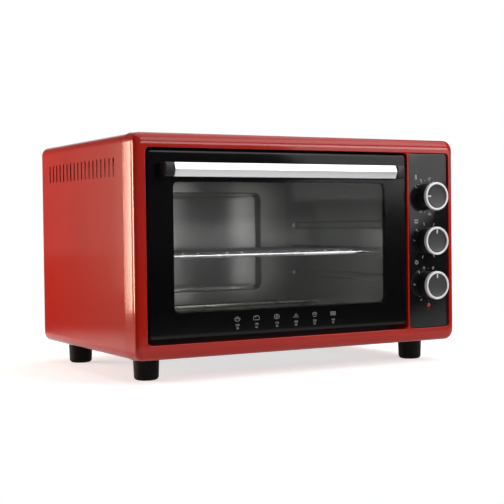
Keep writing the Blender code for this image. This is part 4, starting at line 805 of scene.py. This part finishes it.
def extrude_x(profile, x, edge):
    """Pushes a (y, z) profile along X; both ends shrink towards the middle to leave a small bevel."""
    middle = profile.mean(0)
    reach = np.abs(profile - middle).max(0)
    rows = []
    for place, inset in ((x[0], edge), (x[0] + edge, 0), (x[1] - edge, 0), (x[1], edge)):
        loop = middle + (profile - middle) * (1 - inset / reach)
        rows.append(np.column_stack([np.full(len(loop), place), loop]))
    return skin(rows, caps=BOTH_ENDS)


def handle_bar():
    half = (bar_high[2] - bar_low[2]) / 2
    middle = bar_low[2] + half
    front, shoulder, back = bar_low[1], bar_low[1] + BAR_FACET, bar_high[1]
    corners = [(front, middle), (shoulder, middle + half), (back, middle + half),
               (back, middle - half), (shoulder, middle - half)]
    return extrude_x(eased_polygon(corners, BAR_EASE), (bar_low[0], bar_high[0]), BAR_BEVEL)


def rounded_slab(low, high, corner, edge):
    return skin(slab_rows(spans(low, high), corner, edge, low[1], high[1]), caps=BOTH_ENDS)


add_piece("handle_bar_facets", handle_bar(), ALUMINIUM, "door", ["handle_bar"])
for name in ("handle_bracket_left", "handle_bracket_right"):
    block = rounded_slab(*node_box(name), BLOCK_CORNER, BLOCK_EDGE)
    add_piece(name + "_block", block, SATIN_BLACK, "door", [name], sharp_deg=50)
print("handle length", round((bar_high[0] - bar_low[0]) / MM), "mm")

# %% [markdown]
# The control panel is a flat glossy plate. Its print is made of thin solid shapes that stand a few
# hundredths of a millimetre on it: dial ticks, plain numbers and simple marks. Turned pieces are profiles
# of (radius, rise) pairs that go round an axis: x = r cos a, z = r sin a, y = front - rise.

# %% Control panel and knobs
PANEL_CORNER = 5.7 * MM
PANEL_EDGE = 1 * MM
PANEL_FRONT = panel_low[1]
PANEL_X = float(panel_low[0] + panel_high[0]) / 2
add_piece("panel_plate", rounded_slab(panel_low, panel_high, PANEL_CORNER, PANEL_EDGE), PANEL_BLACK, "oven",
          ["control_panel"])

KNOBS = ("thermostat", "selector", "timer")
ring_boxes = {name: node_box(name + "_knob_ring") for name in KNOBS}
KNOB_CENTRES = {name: (PANEL_X, (low[2] + high[2]) / 2) for name, (low, high) in ring_boxes.items()}
KNOB_RISE = PANEL_FRONT - ring_boxes["selector"][0][1]
KNOB_RADIUS = 19.6 * MM
KNOB_CROWN = KNOB_RISE - 5.5 * MM
KNOB_LIFT = 0.6 * MM
KNOB_WALL = 2 * MM
KNOB_EASE = 0.2 * MM
SHAFT_RADIUS = 3.3 * MM
BORE_TOP, HUB_FOOT, HUB_RADIUS = 12.4 * MM, 2.6 * MM, 6 * MM
RING_INNER = 17.2 * MM
RING_RADIUS = 20.5 * MM
RING_EDGE = 0.9 * MM
SEAT = RING_INNER - 0.3 * MM
FACE_RISE = KNOB_RISE - 1 * MM
FACE_RADIUS = RING_INNER - 1.2 * MM
WELL_RIM = 0.8 * MM
WELL_FLOOR = FACE_RISE - 2 * MM
DISH = 1.1 * MM
POINTER_CLOCK = {"thermostat": 270, "selector": 0, "timer": 0}
POINTER_START, POINTER_END = 10.6 * MM, 16.6 * MM
POINTER_WIDTH = 2.1 * MM
POINTER_DEPTHS = [PANEL_FRONT - KNOB_RISE + 1.15 * MM + half for half in (0.3 * MM, -0.3 * MM)]


def turned(profile, centre, y, sides=72):
    """Rows of circles for (radius, rise) pairs; a pair with radius 0 closes the surface at its pole."""
    return skin([at_depth(circle(centre, max(radius, 0.0), sides), y - rise) for radius, rise in profile])


def knob_profile():
    """From the bore, under the skirt, up the side, over the ring's seat and down into the face's well."""
    under = KNOB_CROWN - KNOB_WALL
    inner = KNOB_RADIUS - KNOB_WALL
    return [
        (0, BORE_TOP), (SHAFT_RADIUS, BORE_TOP), (SHAFT_RADIUS, HUB_FOOT), (HUB_RADIUS, HUB_FOOT),
        (HUB_RADIUS, under), (inner, under), (inner, KNOB_LIFT), (KNOB_RADIUS - KNOB_LIFT, KNOB_LIFT),
        (KNOB_RADIUS, 2 * KNOB_LIFT), (KNOB_RADIUS, KNOB_CROWN - KNOB_EASE),
        (KNOB_RADIUS - KNOB_EASE, KNOB_CROWN), (SEAT, KNOB_CROWN), (SEAT, FACE_RISE - KNOB_EASE),
        (SEAT - KNOB_EASE, FACE_RISE), (SEAT - WELL_RIM, FACE_RISE), (SEAT - WELL_RIM, WELL_FLOOR),
        (0, WELL_FLOOR),
    ]


def face_profile():
    """A thin disc in the well, dished by DISH: its top is FACE_RISE - DISH * sqrt(1 - share squared)."""
    floor = WELL_FLOOR + 0.1 * MM
    dish = [(share * FACE_RADIUS, FACE_RISE - DISH * (1 - share ** 2) ** 0.5)
            for share in (1, 0.97, 0.93, 0.85, 0.7, 0.5, 0.25, 0)]
    return [(0, floor), (FACE_RADIUS, floor), *dish]


def ring_profile():
    """Closed flat ring whose two upper edges are rounded."""
    low = KNOB_CROWN + 0.3 * MM
    outer = arc((RING_RADIUS - RING_EDGE, KNOB_RISE - RING_EDGE), RING_EDGE, 0, 90, 5)
    inner = arc((RING_INNER + RING_EDGE, KNOB_RISE - RING_EDGE), RING_EDGE, 90, 180, 5)
    return [(RING_RADIUS, low), *outer, *inner, (RING_INNER, low), (RING_RADIUS, low)]


def clock_point(centre, radius, clock_deg):
    """The point at a clock angle: 0 is up and 90 is to the right."""
    angle = math.radians(clock_deg)
    return np.array([centre[0] + radius * math.sin(angle), centre[1] + radius * math.cos(angle)])


def stroke(start, end, width):
    """Outline of a straight stroke with square ends."""
    along = (end - start) / np.linalg.norm(end - start)
    side = np.array([-along[1], along[0]]) * width / 2
    return [start + side, start - side, end - side, end + side]


KNOB_PARTS = [
    ("_cap", knob_profile(), SATIN_BLACK, "black_plastic", "_knob"),
    # The face disc is the same black plastic as the cap; its lighter grey is a painted sheen.
    ("_face", face_profile(), KNOB_FACE_SHEEN, "black_plastic", None),
    ("_bead", ring_profile(), RING, "ring_chrome", "_knob_ring"),
]
for name, centre in KNOB_CENTRES.items():
    for part, profile, material, slot, replaced in KNOB_PARTS:
        add_piece(name + part, turned(profile, centre, PANEL_FRONT), material, name + "_dial",
                  [name + replaced] if replaced else ())
    start, end = (clock_point(centre, radius, POINTER_CLOCK[name]) for radius in (POINTER_START, POINTER_END))
    mark = plate(stroke(start, end, POINTER_WIDTH), *POINTER_DEPTHS)
    add_piece(name + "_pointer", mark, WHITE_INK, name + "_dial")
print("knobs", len(KNOBS), "rise", round(KNOB_RISE / MM, 1), "mm")

# %% [markdown]
# Printed marks. Numbers come from Blender's own font, turned into thin meshes and set round each dial.
# The small pictures are plain shapes of straight and curved strokes, listed in millimetres about a middle.

# %% Prints on the panel
INK = 0.05 * MM
FONT_SCALE = 1.38
TICK_RADIUS, TICK_LENGTH, TICK_WIDTH = 23.4 * MM, 1.2 * MM, 0.8 * MM
NUMBER_RADIUS = 26.4 * MM
NUMBER_HEIGHT = 3 * MM
DIALS = {
    "thermostat": [(303, "0"), (316, ""), (332, "75"), (348, ""), (6, "125"), (26, ""), (46, "175"), (66, ""),
                   (86, "200"), (108, ""), (130, "225"), (151, ""), (173, "250"), (194, ""), (211, "300")],
    "selector": list(zip((271, 307, 343, 24, 66, 110, 156, 203), "12345678")),
    "timer": [(272, "0"), (317, "15"), (342, "30"), (0, ""), (20, "45"), (62, "60"), (104, "75"), (146, "90"),
              (180, ""), (211, "99"), (224, "")],
}
SIGN_X = frame_low[0] + 450 * MM
SIGN_STROKE = 0.65 * MM
SIGNS = [("thermometer", 243), ("oven", 178), ("clock", 118)]
# A list is a stroke through points. A tuple is an arc: centre, radii, first angle and last angle.
SKETCHES = {
    "thermometer": [((0, -2), (1.5, 1.5), 0, 360), [(-0.7, -0.6), (-0.7, 3.2), (0.7, 3.2), (0.7, -0.6)]],
    "oven": [[(-3, -2.4), (3, -2.4), (3, 2.4), (-3, 2.4), (-3, -2.4)], [(-1.8, -1.3), (1.8, -1.3)],
             [(-1.8, 1.3), (1.8, 1.3)]],
    "clock": [((0, 0), (2.7, 2.7), 0, 360), [(0, 1.9), (0, 0), (1.3, 0)]],
    "bowl": [((0, 0), (4, 3.4), 180, 360), [(-4.6, 0.2), (4.6, 0.2)], ((0, 0.6), (2.4, 2), 20, 160)],
    "loaf": [((0, 0.2), (4.4, 2.6), 0, 180), [(-4.4, 0.2), (-4.2, -2.8), (4.2, -2.8), (4.4, 0.2)],
             [(-1, 2), (-1, 0)]],
    "ring": [((0, 0), (4, 3.2), 0, 360), ((0, 0), (1.5, 1.2), 0, 360)],
    "slice": [[(-4.4, -2.4), (4.4, -2.4), (0.4, 2.8), (-4.4, -2.4)], [(-2.2, -0.4), (2.4, -0.4)]],
    "cup": [[(-3, 0.4), (-2, -2.8), (2, -2.8), (3, 0.4), (-3, 0.4)], ((0, 0.6), (3.2, 2.4), 0, 180)],
    "tray": [[(-4.4, -2.2), (4.4, -2.2), (4.4, 2.2), (-4.4, 2.2), (-4.4, -2.2)],
             ((-1.9, 0), (1.2, 1.2), 0, 360), ((1.9, 0), (1.2, 1.2), 0, 360)],
}


def number_print(text, centre, y):
    """Blender's built-in digits, centred on a point of the plane at depth y, as a thin mesh."""
    curve = bpy.data.curves.new("digits", "FONT")
    curve.body = text
    curve.size = NUMBER_HEIGHT * FONT_SCALE
    curve.align_x = curve.align_y = "CENTER"
    curve.extrude = INK
    curve.resolution_u = 3
    item = add_object("digits", curve)
    mesh = evaluated_mesh(item)
    points = np.array([vertex.co for vertex in mesh.vertices])
    faces = [list(face.vertices) for face in mesh.polygons]
    bpy.data.objects.remove(item)
    bpy.data.curves.remove(curve)
    bpy.data.meshes.remove(mesh)
    return np.column_stack([points[:, 0] + centre[0], y - points[:, 2], points[:, 1] + centre[1]]), faces


def line_print(points, width, y):
    """A stroke along (x, z) points: a flat bar, INK above and below the plane, closed where its ends meet."""
    points = np.asarray(points, float)
    closed = np.allclose(points[0], points[-1])
    if closed:
        points = points[:-1]
        ahead, behind = np.roll(points, -1, axis=0), np.roll(points, 1, axis=0)
    else:
        ahead = np.vstack([points[1:], 2 * points[-1] - points[-2]])
        behind = np.vstack([2 * points[0] - points[1], points[:-1]])
    along = ahead - behind
    along /= np.linalg.norm(along, axis=1)[:, None]
    side = np.column_stack([-along[:, 1], along[:, 0]]) * width / 2
    corners = [(1, -INK), (-1, -INK), (-1, INK), (1, INK)]
    rows = np.stack([at_depth(points + sign * side, y + depth) for sign, depth in corners], axis=1)
    return skin(rows, caps=() if closed else BOTH_ENDS, along=closed)


def sketch(kind, x, z, width, y):
    """The strokes of one plain shape, about 9 mm across at most, round the point (x, z)."""
    paths = [shape if isinstance(shape, list) else arc(*shape, 14) for shape in SKETCHES[kind]]
    return [line_print(np.array(path) * MM + (x, z), width, y) for path in paths]


white_marks = []
for name, marks in DIALS.items():
    centre = KNOB_CENTRES[name]
    for clock, text in marks:
        ends = [clock_point(centre, radius, clock) for radius in (TICK_RADIUS, TICK_RADIUS + TICK_LENGTH)]
        white_marks.append(line_print(ends, TICK_WIDTH, PANEL_FRONT))
        if text:
            white_marks.append(number_print(text, clock_point(centre, NUMBER_RADIUS, clock), PANEL_FRONT))
for kind, height in SIGNS:
    white_marks += sketch(kind, SIGN_X, frame_low[2] + height * MM, SIGN_STROKE, PANEL_FRONT)
add_piece("panel_print", join_parts(white_marks), WHITE_INK, "oven", sharp_deg=60)

print("panel marks", len(white_marks))

# %% [markdown]
# The pilot lamp is a small red dome on the panel, with a short red bar above it and one below.

# %% Pilot lamp
lamp_low, lamp_high = node_box("pilot_lamp")
LAMP_Z = float(lamp_low[2] + lamp_high[2]) / 2
LENS_RISE = PANEL_FRONT - lamp_low[1]
LENS_RADIUS = 3 * MM
LAMP_BODY_RADIUS, LAMP_BODY_START, LAMP_BODY_END = 4.4 * MM, -2.9 * MM, -20 * MM
LAMP_BARS = [([(0, 5), (0, 7.6)], 0.9 * MM), ([(-1.4, -6), (1.4, -6)], 0.6 * MM)]


def lens_profile():
    """A dome over a rim, then down the body behind the panel."""
    body = [(0, LAMP_BODY_END), (LAMP_BODY_RADIUS, LAMP_BODY_END), (LAMP_BODY_RADIUS, LAMP_BODY_START),
            (LENS_RADIUS, LAMP_BODY_START)]
    return [*body, *arc((0, 0), (LENS_RADIUS, LENS_RISE), 0, 90, 7)[:-1], (0, LENS_RISE)]


red_marks = [line_print(np.array(ends) * MM + (PANEL_X, LAMP_Z), width, PANEL_FRONT)
             for ends, width in LAMP_BARS]
add_piece("lamp_print", join_parts(red_marks), RED_INK, "oven", sharp_deg=60)
add_piece("pilot_lens", turned(lens_profile(), (PANEL_X, LAMP_Z), PANEL_FRONT, 32), LENS, "oven",
          ["pilot_lamp"])
print("lens rise", round(LENS_RISE / MM, 1), "mm")

# %% [markdown]
# The lower edge of the door has six small pictures with two numbers under each.

# %% Prints on the door
PICTURE_Z = frame_low[2] + 50.2 * MM
PICTURE_STROKE = 0.55 * MM
LINE_HEIGHTS = (41.6 * MM, 37.4 * MM)
# Each row is a shape, its place across in millimetres and the numbers under it.
PICTURES = [("bowl", 149.5, ("200", "30")), ("loaf", 179, ("190", "45")), ("ring", 211, ("175", "40")),
            ("slice", 241.5, ("180", "50")), ("cup", 272, ("220", "25")), ("tray", 302.6, ("160", "35"))]

door_marks = []
for kind, across, numbers in PICTURES:
    x = frame_low[0] + across * MM
    door_marks += sketch(kind, x, PICTURE_Z, PICTURE_STROKE, GLASS_FRONT)
    for text, rise in zip(numbers, LINE_HEIGHTS):
        door_marks.append(number_print(text, (x, frame_low[2] + rise), GLASS_FRONT))
add_piece("door_print", join_parts(door_marks), GREY_INK, "door", sharp_deg=60)
print("door marks", len(door_marks))

# %% [markdown]
# The cavity. Its back is pressed outwards for a round tray. The pressing is a stack of loops: a rounded
# rectangle whose wall rises over BULGE_DRAFT, and inside it loops that shrink to the middle. How far a point
# is pushed out depends on its place across: y = ramp * (STEP + (DEPTH - STEP) * (1 - share to the fourth)).

# %% Cavity back and sides
CAVITY_LAP = 6.2 * MM
ceiling_low, ceiling_high = node_box("cavity_ceiling")
floor_low, floor_high = node_box("cavity_floor")
CAVITY_LEFT, CAVITY_RIGHT = ceiling_low[0] + CAVITY_LAP, ceiling_high[0] - CAVITY_LAP
CAVITY_FLOOR, CAVITY_CEILING = floor_high[2], ceiling_low[2]
CAVITY_START, CAVITY_END = floor_low[1], floor_high[1] + 0.3 * MM
CAVITY_MID = (CAVITY_LEFT + CAVITY_RIGHT) / 2
CAVITY_HEART_Z = 0.16
BACK_CORNER = 0.5 * MM
BULGE_HALF = (CAVITY_RIGHT - CAVITY_LEFT) / 2 - 47 * MM
BULGE_X = (CAVITY_MID - BULGE_HALF, CAVITY_MID + BULGE_HALF)
BULGE_Z = (CAVITY_FLOOR + 35 * MM, CAVITY_CEILING - 33 * MM)
BULGE_DEPTH = 26 * MM
BULGE_STEP = 8 * MM
BULGE_DRAFT = 6 * MM
BULGE_CORNER = 12 * MM
BULGE_LEAST_CORNER = 3 * MM
BULGE_STEPS = 10
BULGE_SIDE_POINTS = 24
BULB_OFFSET = 9 * MM
BULB_DROP = 6.5 * MM
BULB_CLIP_HALF = 4.5 * MM
BULB_CLIP_Y = FRONT + 105 * MM
GROOVE_DEPTH = 5 * MM
GROOVE_LEVELS = [CAVITY_FLOOR + height * MM for height in (63, 102, 141)]
GROOVE_END = CAVITY_END - 26 * MM
HALF_FLOOR, HALF_MOUTH = 4 * MM, 6 * MM
SHEET_GAP = 0.3 * MM


def smooth_step(share):
    return share ** 2 * (3 - 2 * share)


def filled_sides(loop):
    """Adds BULGE_SIDE_POINTS points to each straight side of a rounded loop."""
    share = np.linspace(0, 1, BULGE_SIDE_POINTS + 2)[1:-1, None]
    corners = np.split(loop, 4)
    pieces = []
    for own, following in zip(corners, corners[1:] + corners[:1]):
        pieces += [own, own[-1] * (1 - share) + following[0] * share]
    return np.concatenate(pieces)


def pushed(loop, ramp_share):
    """Points of the back wall for an (x, z) loop: the plan is a flat-topped curve between the two ends."""
    share = np.clip((loop[:, 0] - CAVITY_MID) / BULGE_HALF, -1, 1)
    push = ramp_share * (BULGE_STEP + (BULGE_DEPTH - BULGE_STEP) * (1 - share ** 4))
    return np.column_stack([loop[:, 0], CAVITY_END + push, loop[:, 1]])


def back_wall():
    """The outer edge, the wall of the pressing from just outside to just inside, then loops to the middle."""
    edge_z = (CAVITY_FLOOR - CAVITY_LAP, CAVITY_CEILING + CAVITY_LAP)
    edge = rounded_loop((ceiling_low[0], ceiling_high[0]), edge_z, BACK_CORNER, BULGE_STEPS)
    rows = [pushed(filled_sides(edge), 0)]
    for share in np.concatenate([[-0.08], np.linspace(0, 1, 13), [1.1]]):
        inset = BULGE_DRAFT * share
        x, z = ((low + inset, high - inset) for low, high in (BULGE_X, BULGE_Z))
        inner = filled_sides(rounded_loop(x, z, max(BULGE_CORNER - inset, BULGE_LEAST_CORNER), BULGE_STEPS))
        rows.append(pushed(inner, smooth_step(float(np.clip(share, 0, 1)))))
    middle = np.array([CAVITY_MID, (BULGE_Z[0] + BULGE_Z[1]) / 2])
    for share in np.linspace(0, 1, 14)[1:]:
        rows.append(pushed(middle + (inner - middle) * (1 - share), 1))
    return skin(rows)


def groove_push(y, z):
    """Groove depth at a point: 1 within HALF_FLOOR of a groove's middle line, 0 beyond HALF_MOUTH."""
    push = np.zeros_like(z)
    for level in GROOVE_LEVELS:
        distance = np.hypot(np.maximum(y - GROOVE_END, 0), z - level)
        share = np.clip((HALF_MOUTH - distance) / (HALF_MOUTH - HALF_FLOOR), 0, 1)
        push = np.maximum(push, smooth_step(share))
    return push * GROOVE_DEPTH


def side_sheet(x, outward):
    """A grid over depth and height, pushed outwards along each groove and rounded at the groove's end."""
    near = np.linspace(-HALF_MOUTH - EASE, HALF_MOUTH + EASE, 27)
    heights = np.concatenate([[CAVITY_FLOOR + SHEET_GAP], *[level + near for level in GROOVE_LEVELS],
                              [CAVITY_CEILING - SHEET_GAP]])
    straight = np.linspace(CAVITY_START, GROOVE_END - 10 * MM, 6)
    tip = np.linspace(GROOVE_END - 1 * MM, GROOVE_END + HALF_MOUTH + EASE, 16)
    depths = np.concatenate([straight, tip, [CAVITY_END - SHEET_GAP]])
    y, z = np.meshgrid(depths, heights, indexing="ij")
    return skin(np.stack([x + outward * groove_push(y, z), y, z], axis=-1), around=False)


def bulb_clip():
    """A small plate that holds the bulb: straight edges from the right sheet that end in a half circle."""
    x, z = CAVITY_RIGHT - BULB_OFFSET, CAVITY_CEILING - BULB_DROP
    outline = [(CAVITY_RIGHT, z - BULB_CLIP_HALF), (CAVITY_RIGHT, z + BULB_CLIP_HALF),
               *arc((x, z), BULB_CLIP_HALF, 90, 270, 13)]
    return plate(outline, BULB_CLIP_Y + THIN_SHEET, BULB_CLIP_Y - THIN_SHEET)


add_piece("cavity_back_pressing", back_wall(), CAVITY_METAL, "oven", ["cavity_back_wall"],
          wall=THIN_SHEET, inside=(CAVITY_MID, FRONT, CAVITY_HEART_Z))
for name, x, outward in (("cavity_left_wall", CAVITY_LEFT, -1), ("cavity_right_wall", CAVITY_RIGHT, 1)):
    add_piece(name + "_sheet", side_sheet(x, outward), CAVITY_METAL, "oven", [name],
              wall=THIN_SHEET, inside=(x + outward, 0, CAVITY_HEART_Z))
add_piece("bulb_clip", bulb_clip(), CAVITY_METAL, "oven")
print("cavity width", round((CAVITY_RIGHT - CAVITY_LEFT) / MM), "mm")

# %% [markdown]
# Rack and heaters are round wire. A tube is a circle that is carried along a path in a level plane: at each
# path point the circle stands across the direction of travel, one half axis level and the other vertical.

# %% Rack and heating elements
RACK_WIRE = 2.5 * MM
BAR_WIRE = 1.8 * MM
BAR_SINK = 0.8 * MM
BAR_COUNT = 13
BAR_MARGIN = 54.2 * MM
RACK_CORNER = 36 * MM
HEATER_ROD = 3.25 * MM
HEATER_SPREAD = 105 * MM
HEATER_NEAR = FRONT + 128 * MM
HEATER_BEND_X = CAVITY_LEFT + 65 * MM
FLANGE_RADIUS = 7.4 * MM
FLANGE_PLACES = [CAVITY_RIGHT + depth * MM for depth in (1.1, 2.1, 3.1)]
TUBE_BEVEL = 0.35


def level_tube(path, radius, sides=20, closed=False):
    """Circles across a path at constant height; the ends of an open path are closed with a small bevel."""
    path = np.asarray(path, float)
    if closed:
        along = np.roll(path, -1, axis=0) - np.roll(path, 1, axis=0)
    else:
        along = np.gradient(path, axis=0)
    along /= np.linalg.norm(along, axis=1)[:, None]
    level = np.column_stack([-along[:, 1], along[:, 0], np.zeros(len(path))])
    ring = circle((0, 0), radius, sides)
    rows = path[:, None] + ring[None, :, :1] * level[:, None] + ring[None, :, 1:] * np.array([0, 0, 1.0])
    if closed:
        return skin(rows, along=True)
    bevel = radius * TUBE_BEVEL
    first, last = (path[end] + (rows[end] - path[end]) * (1 - TUBE_BEVEL) for end in (0, -1))
    rows[0] += along[0] * bevel
    rows[-1] -= along[-1] * bevel
    return skin([first, *rows, last], caps=BOTH_ENDS)


def level_arc(centre, radius, start_deg, end_deg, z, steps=14):
    return np.column_stack([arc(centre, radius, start_deg, end_deg, steps), np.full(steps, z)])


def rack_shape():
    """A closed rim with rounded corners, and bars that lie across it from front to back."""
    low, high = rack_low + RACK_WIRE, rack_high - RACK_WIRE
    left, near = low[:2] + RACK_CORNER
    right, far = high[:2] - RACK_CORNER
    corners = enumerate([(right, far), (left, far), (left, near), (right, near)])
    rim = [level_arc(middle, RACK_CORNER, 90 * turn, 90 * turn + 90, low[2]) for turn, middle in corners]
    shapes = [level_tube(np.concatenate(rim), RACK_WIRE, closed=True)]
    top = low[2] + RACK_WIRE + BAR_WIRE - BAR_SINK
    pitch = (high[0] - low[0] - BAR_MARGIN * 2) / (BAR_COUNT - 1)
    for index in range(BAR_COUNT):
        x = CAVITY_MID + (index - (BAR_COUNT - 1) / 2) * pitch
        path = [(x, y, top) for y in np.linspace(low[1] - BAR_WIRE, high[1] + BAR_WIRE, 6)]
        shapes.append(level_tube(path, BAR_WIRE, 14))
    return join_parts(shapes)


def heater_shape(name):
    """A rod from the right wall that turns half round near the left wall and comes back, with two flanges."""
    low, high = node_box(name)
    z = (low[2] + high[2]) / 2
    near, far = HEATER_NEAR, HEATER_NEAR + HEATER_SPREAD
    turn = level_arc((HEATER_BEND_X, near + HEATER_SPREAD / 2), HEATER_SPREAD / 2, 90, 270, z, 40)
    path = [(high[0], far, z), (CAVITY_RIGHT, far, z), *turn, (CAVITY_RIGHT, near, z), (high[0], near, z)]
    flanges = [level_tube([(x, y, z) for x in FLANGE_PLACES], FLANGE_RADIUS, 24) for y in (near, far)]
    return join_parts([level_tube(path, HEATER_ROD), *flanges])


add_piece("rack_wires", rack_shape(), CHROME, "rack", ["wire_rack"], sharp_deg=50)
for name in ("lower_heating_element", "upper_heating_element"):
    add_piece(name + "_rod", heater_shape(name), SHEATH, "oven", [name], sharp_deg=50)
print("rack bars", BAR_COUNT)

# %% [markdown]
# Feet are turned about a vertical axis. The remaining round solids of the CAD model are copied, merged by
# distance and shaded smooth where their facets meet at a small angle.

# %% Feet and smooth copies
FOOT_RADIUS = 17.75 * MM
FOOT_WAIST = 16.8 * MM
FOOT_TOE = 5.2 * MM
FOOT_EDGE = 0.6 * MM
FOOT_BORE = 2.1 * MM
FOOT_WELL = 5.5 * MM
WELL_EDGE = 0.8 * MM
WELL_DEPTH = 20 * MM


def moved(shape, matrix):
    """A shape moved by a 4 by 4 matrix."""
    matrix = np.array(matrix)
    return np.asarray(shape[0]) @ matrix[:3, :3].T + matrix[:3, 3], shape[1]


def foot_profile(height):
    """Side, rounded toe, flat sole, then up the well of the screw."""
    toe = arc((FOOT_WAIST - FOOT_TOE, height - FOOT_TOE), FOOT_TOE, 0, 90, 8)
    return [(FOOT_BORE, 0), (FOOT_RADIUS - FOOT_EDGE, 0), (FOOT_RADIUS, FOOT_EDGE), *toe,
            (FOOT_WELL + WELL_EDGE, height), (FOOT_WELL, height - WELL_EDGE),
            (FOOT_WELL, height - WELL_DEPTH), (FOOT_BORE, height - WELL_DEPTH), (FOOT_BORE, 0)]


for corner in CORNERS:
    name = "foot_" + corner
    low, high = node_box(name)
    points, faces = turned(foot_profile(high[2] - low[2]), (0, 0), 0.0, 64)
    points = points[:, [0, 2, 1]] + ((low[0] + high[0]) / 2, (low[1] + high[1]) / 2, high[2])
    add_piece(name + "_pad", (points, faces), RUBBER, "oven", [name])

SMOOTH_COPIES = [
    ("cord_gland", SATIN_BLACK, "oven", "black_plastic"), ("thermostat_bulb", COPPER, "oven", "copper"),
    ("wiring_harness", SLEEVE, "oven", "wire_jacket"),
    *[("door_spring_" + side, PLATED, "oven", "plated_steel") for side in SIDES],
    *[(pair + side, PLATED, "door", "plated_steel")
      for pair in ("hinge_pin_", "handle_screw_") for side in SIDES],
    *[("foot_screw_" + corner, PLATED, "oven", "plated_steel") for corner in CORNERS],
    *[(knob + "_shaft", PLATED, knob + "_dial", "plated_steel") for knob in KNOBS],
]
for name, material, body, slot in SMOOTH_COPIES:
    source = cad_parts[name]
    points = np.array([vertex.co for vertex in source.data.vertices])
    faces = [list(face.vertices) for face in source.data.polygons]
    add_piece(name + "_smooth", moved((points, faces), source.matrix_world), material, body, [name],
              sharp_deg=40)
print("smooth copies", len(SMOOTH_COPIES))

# %% [markdown]
# The back panel and the hatch are held by screws with a cross recess. A head is a polar grid whose height is
# a dome, sunk where the point lies inside the cross.

# %% Screws of the back and the hatch
HEAD_RADIUS = 3.4 * MM
HEAD_RISE = 1.7 * MM
HEAD_SINK = 0.2 * MM
HEAD_SIDES = 64
RECESS_HALF, RECESS_HALF_WALL = 0.42 * MM, 0.15 * MM
RECESS_REACH, RECESS_END_WALL = 1.9 * MM, 0.3 * MM
RECESS_DEPTH = 0.9 * MM
RIM_MIDDLE = 13.5 * MM
BACK_SCREW_SHARE = 0.62
HATCH_LAP = 6 * MM
HATCH_SCREW_INSET = 12 * MM


def screw_head():
    """Polar grid: a dome, rise * sqrt(1 - (r/R)^4), sunk by RECESS_DEPTH inside a cross of two slots."""
    rows = [at_depth(circle((0, 0), HEAD_RADIUS, HEAD_SIDES), HEAD_SINK)]
    for share in np.linspace(1, 0, 22):
        ring = circle((0, 0), HEAD_RADIUS * share, HEAD_SIDES)
        across, along = np.abs(ring).min(1), np.abs(ring).max(1)
        inside = np.clip((RECESS_HALF - across) / RECESS_HALF_WALL, 0, 1)
        inside *= np.clip((RECESS_REACH - along) / RECESS_END_WALL, 0, 1)
        height = HEAD_RISE * (1 - share ** 4) ** 0.5
        rows.append(np.column_stack([ring[:, 0], RECESS_DEPTH * inside - height, ring[:, 1]]))
    return skin(rows, caps=("start",))


def add_screws(name, places, turn):
    """Screw heads at these places, turned to face outwards, as one piece."""
    heads = [moved(screw_head(), Matrix.Translation(place) @ turn) for place in places]
    add_piece(name, join_parts(heads), PLATED, "oven", sharp_deg=30)


middle_z = (cover_low[2] + cover_high[2]) / 2
back_x = cover_high[0] - RIM_MIDDLE
back_places = [(x, REAR, middle_z) for x in (-back_x, back_x)]
back_places += [(x, REAR, z) for x in (-back_x * BACK_SCREW_SHARE, back_x * BACK_SCREW_SHARE)
                for z in (cover_low[2] + RIM_MIDDLE, cover_high[2] - RIM_MIDDLE)]
hatch_x = frame_high[0] - HATCH_SIDE + HATCH_LAP
hatch_y = (FRONT + HATCH_MARGIN + HATCH_SCREW_INSET, REAR - HATCH_MARGIN - HATCH_SCREW_INSET)
hatch_places = [(x, y, cover_low[2]) for x in (-hatch_x, hatch_x) for y in hatch_y]
add_screws("back_screws", back_places, Matrix.Rotation(math.pi, 4, "Z"))
add_screws("hatch_screws", hatch_places, Matrix.Rotation(math.pi / 2, 4, "X"))
print("screws", len(back_places), len(hatch_places))
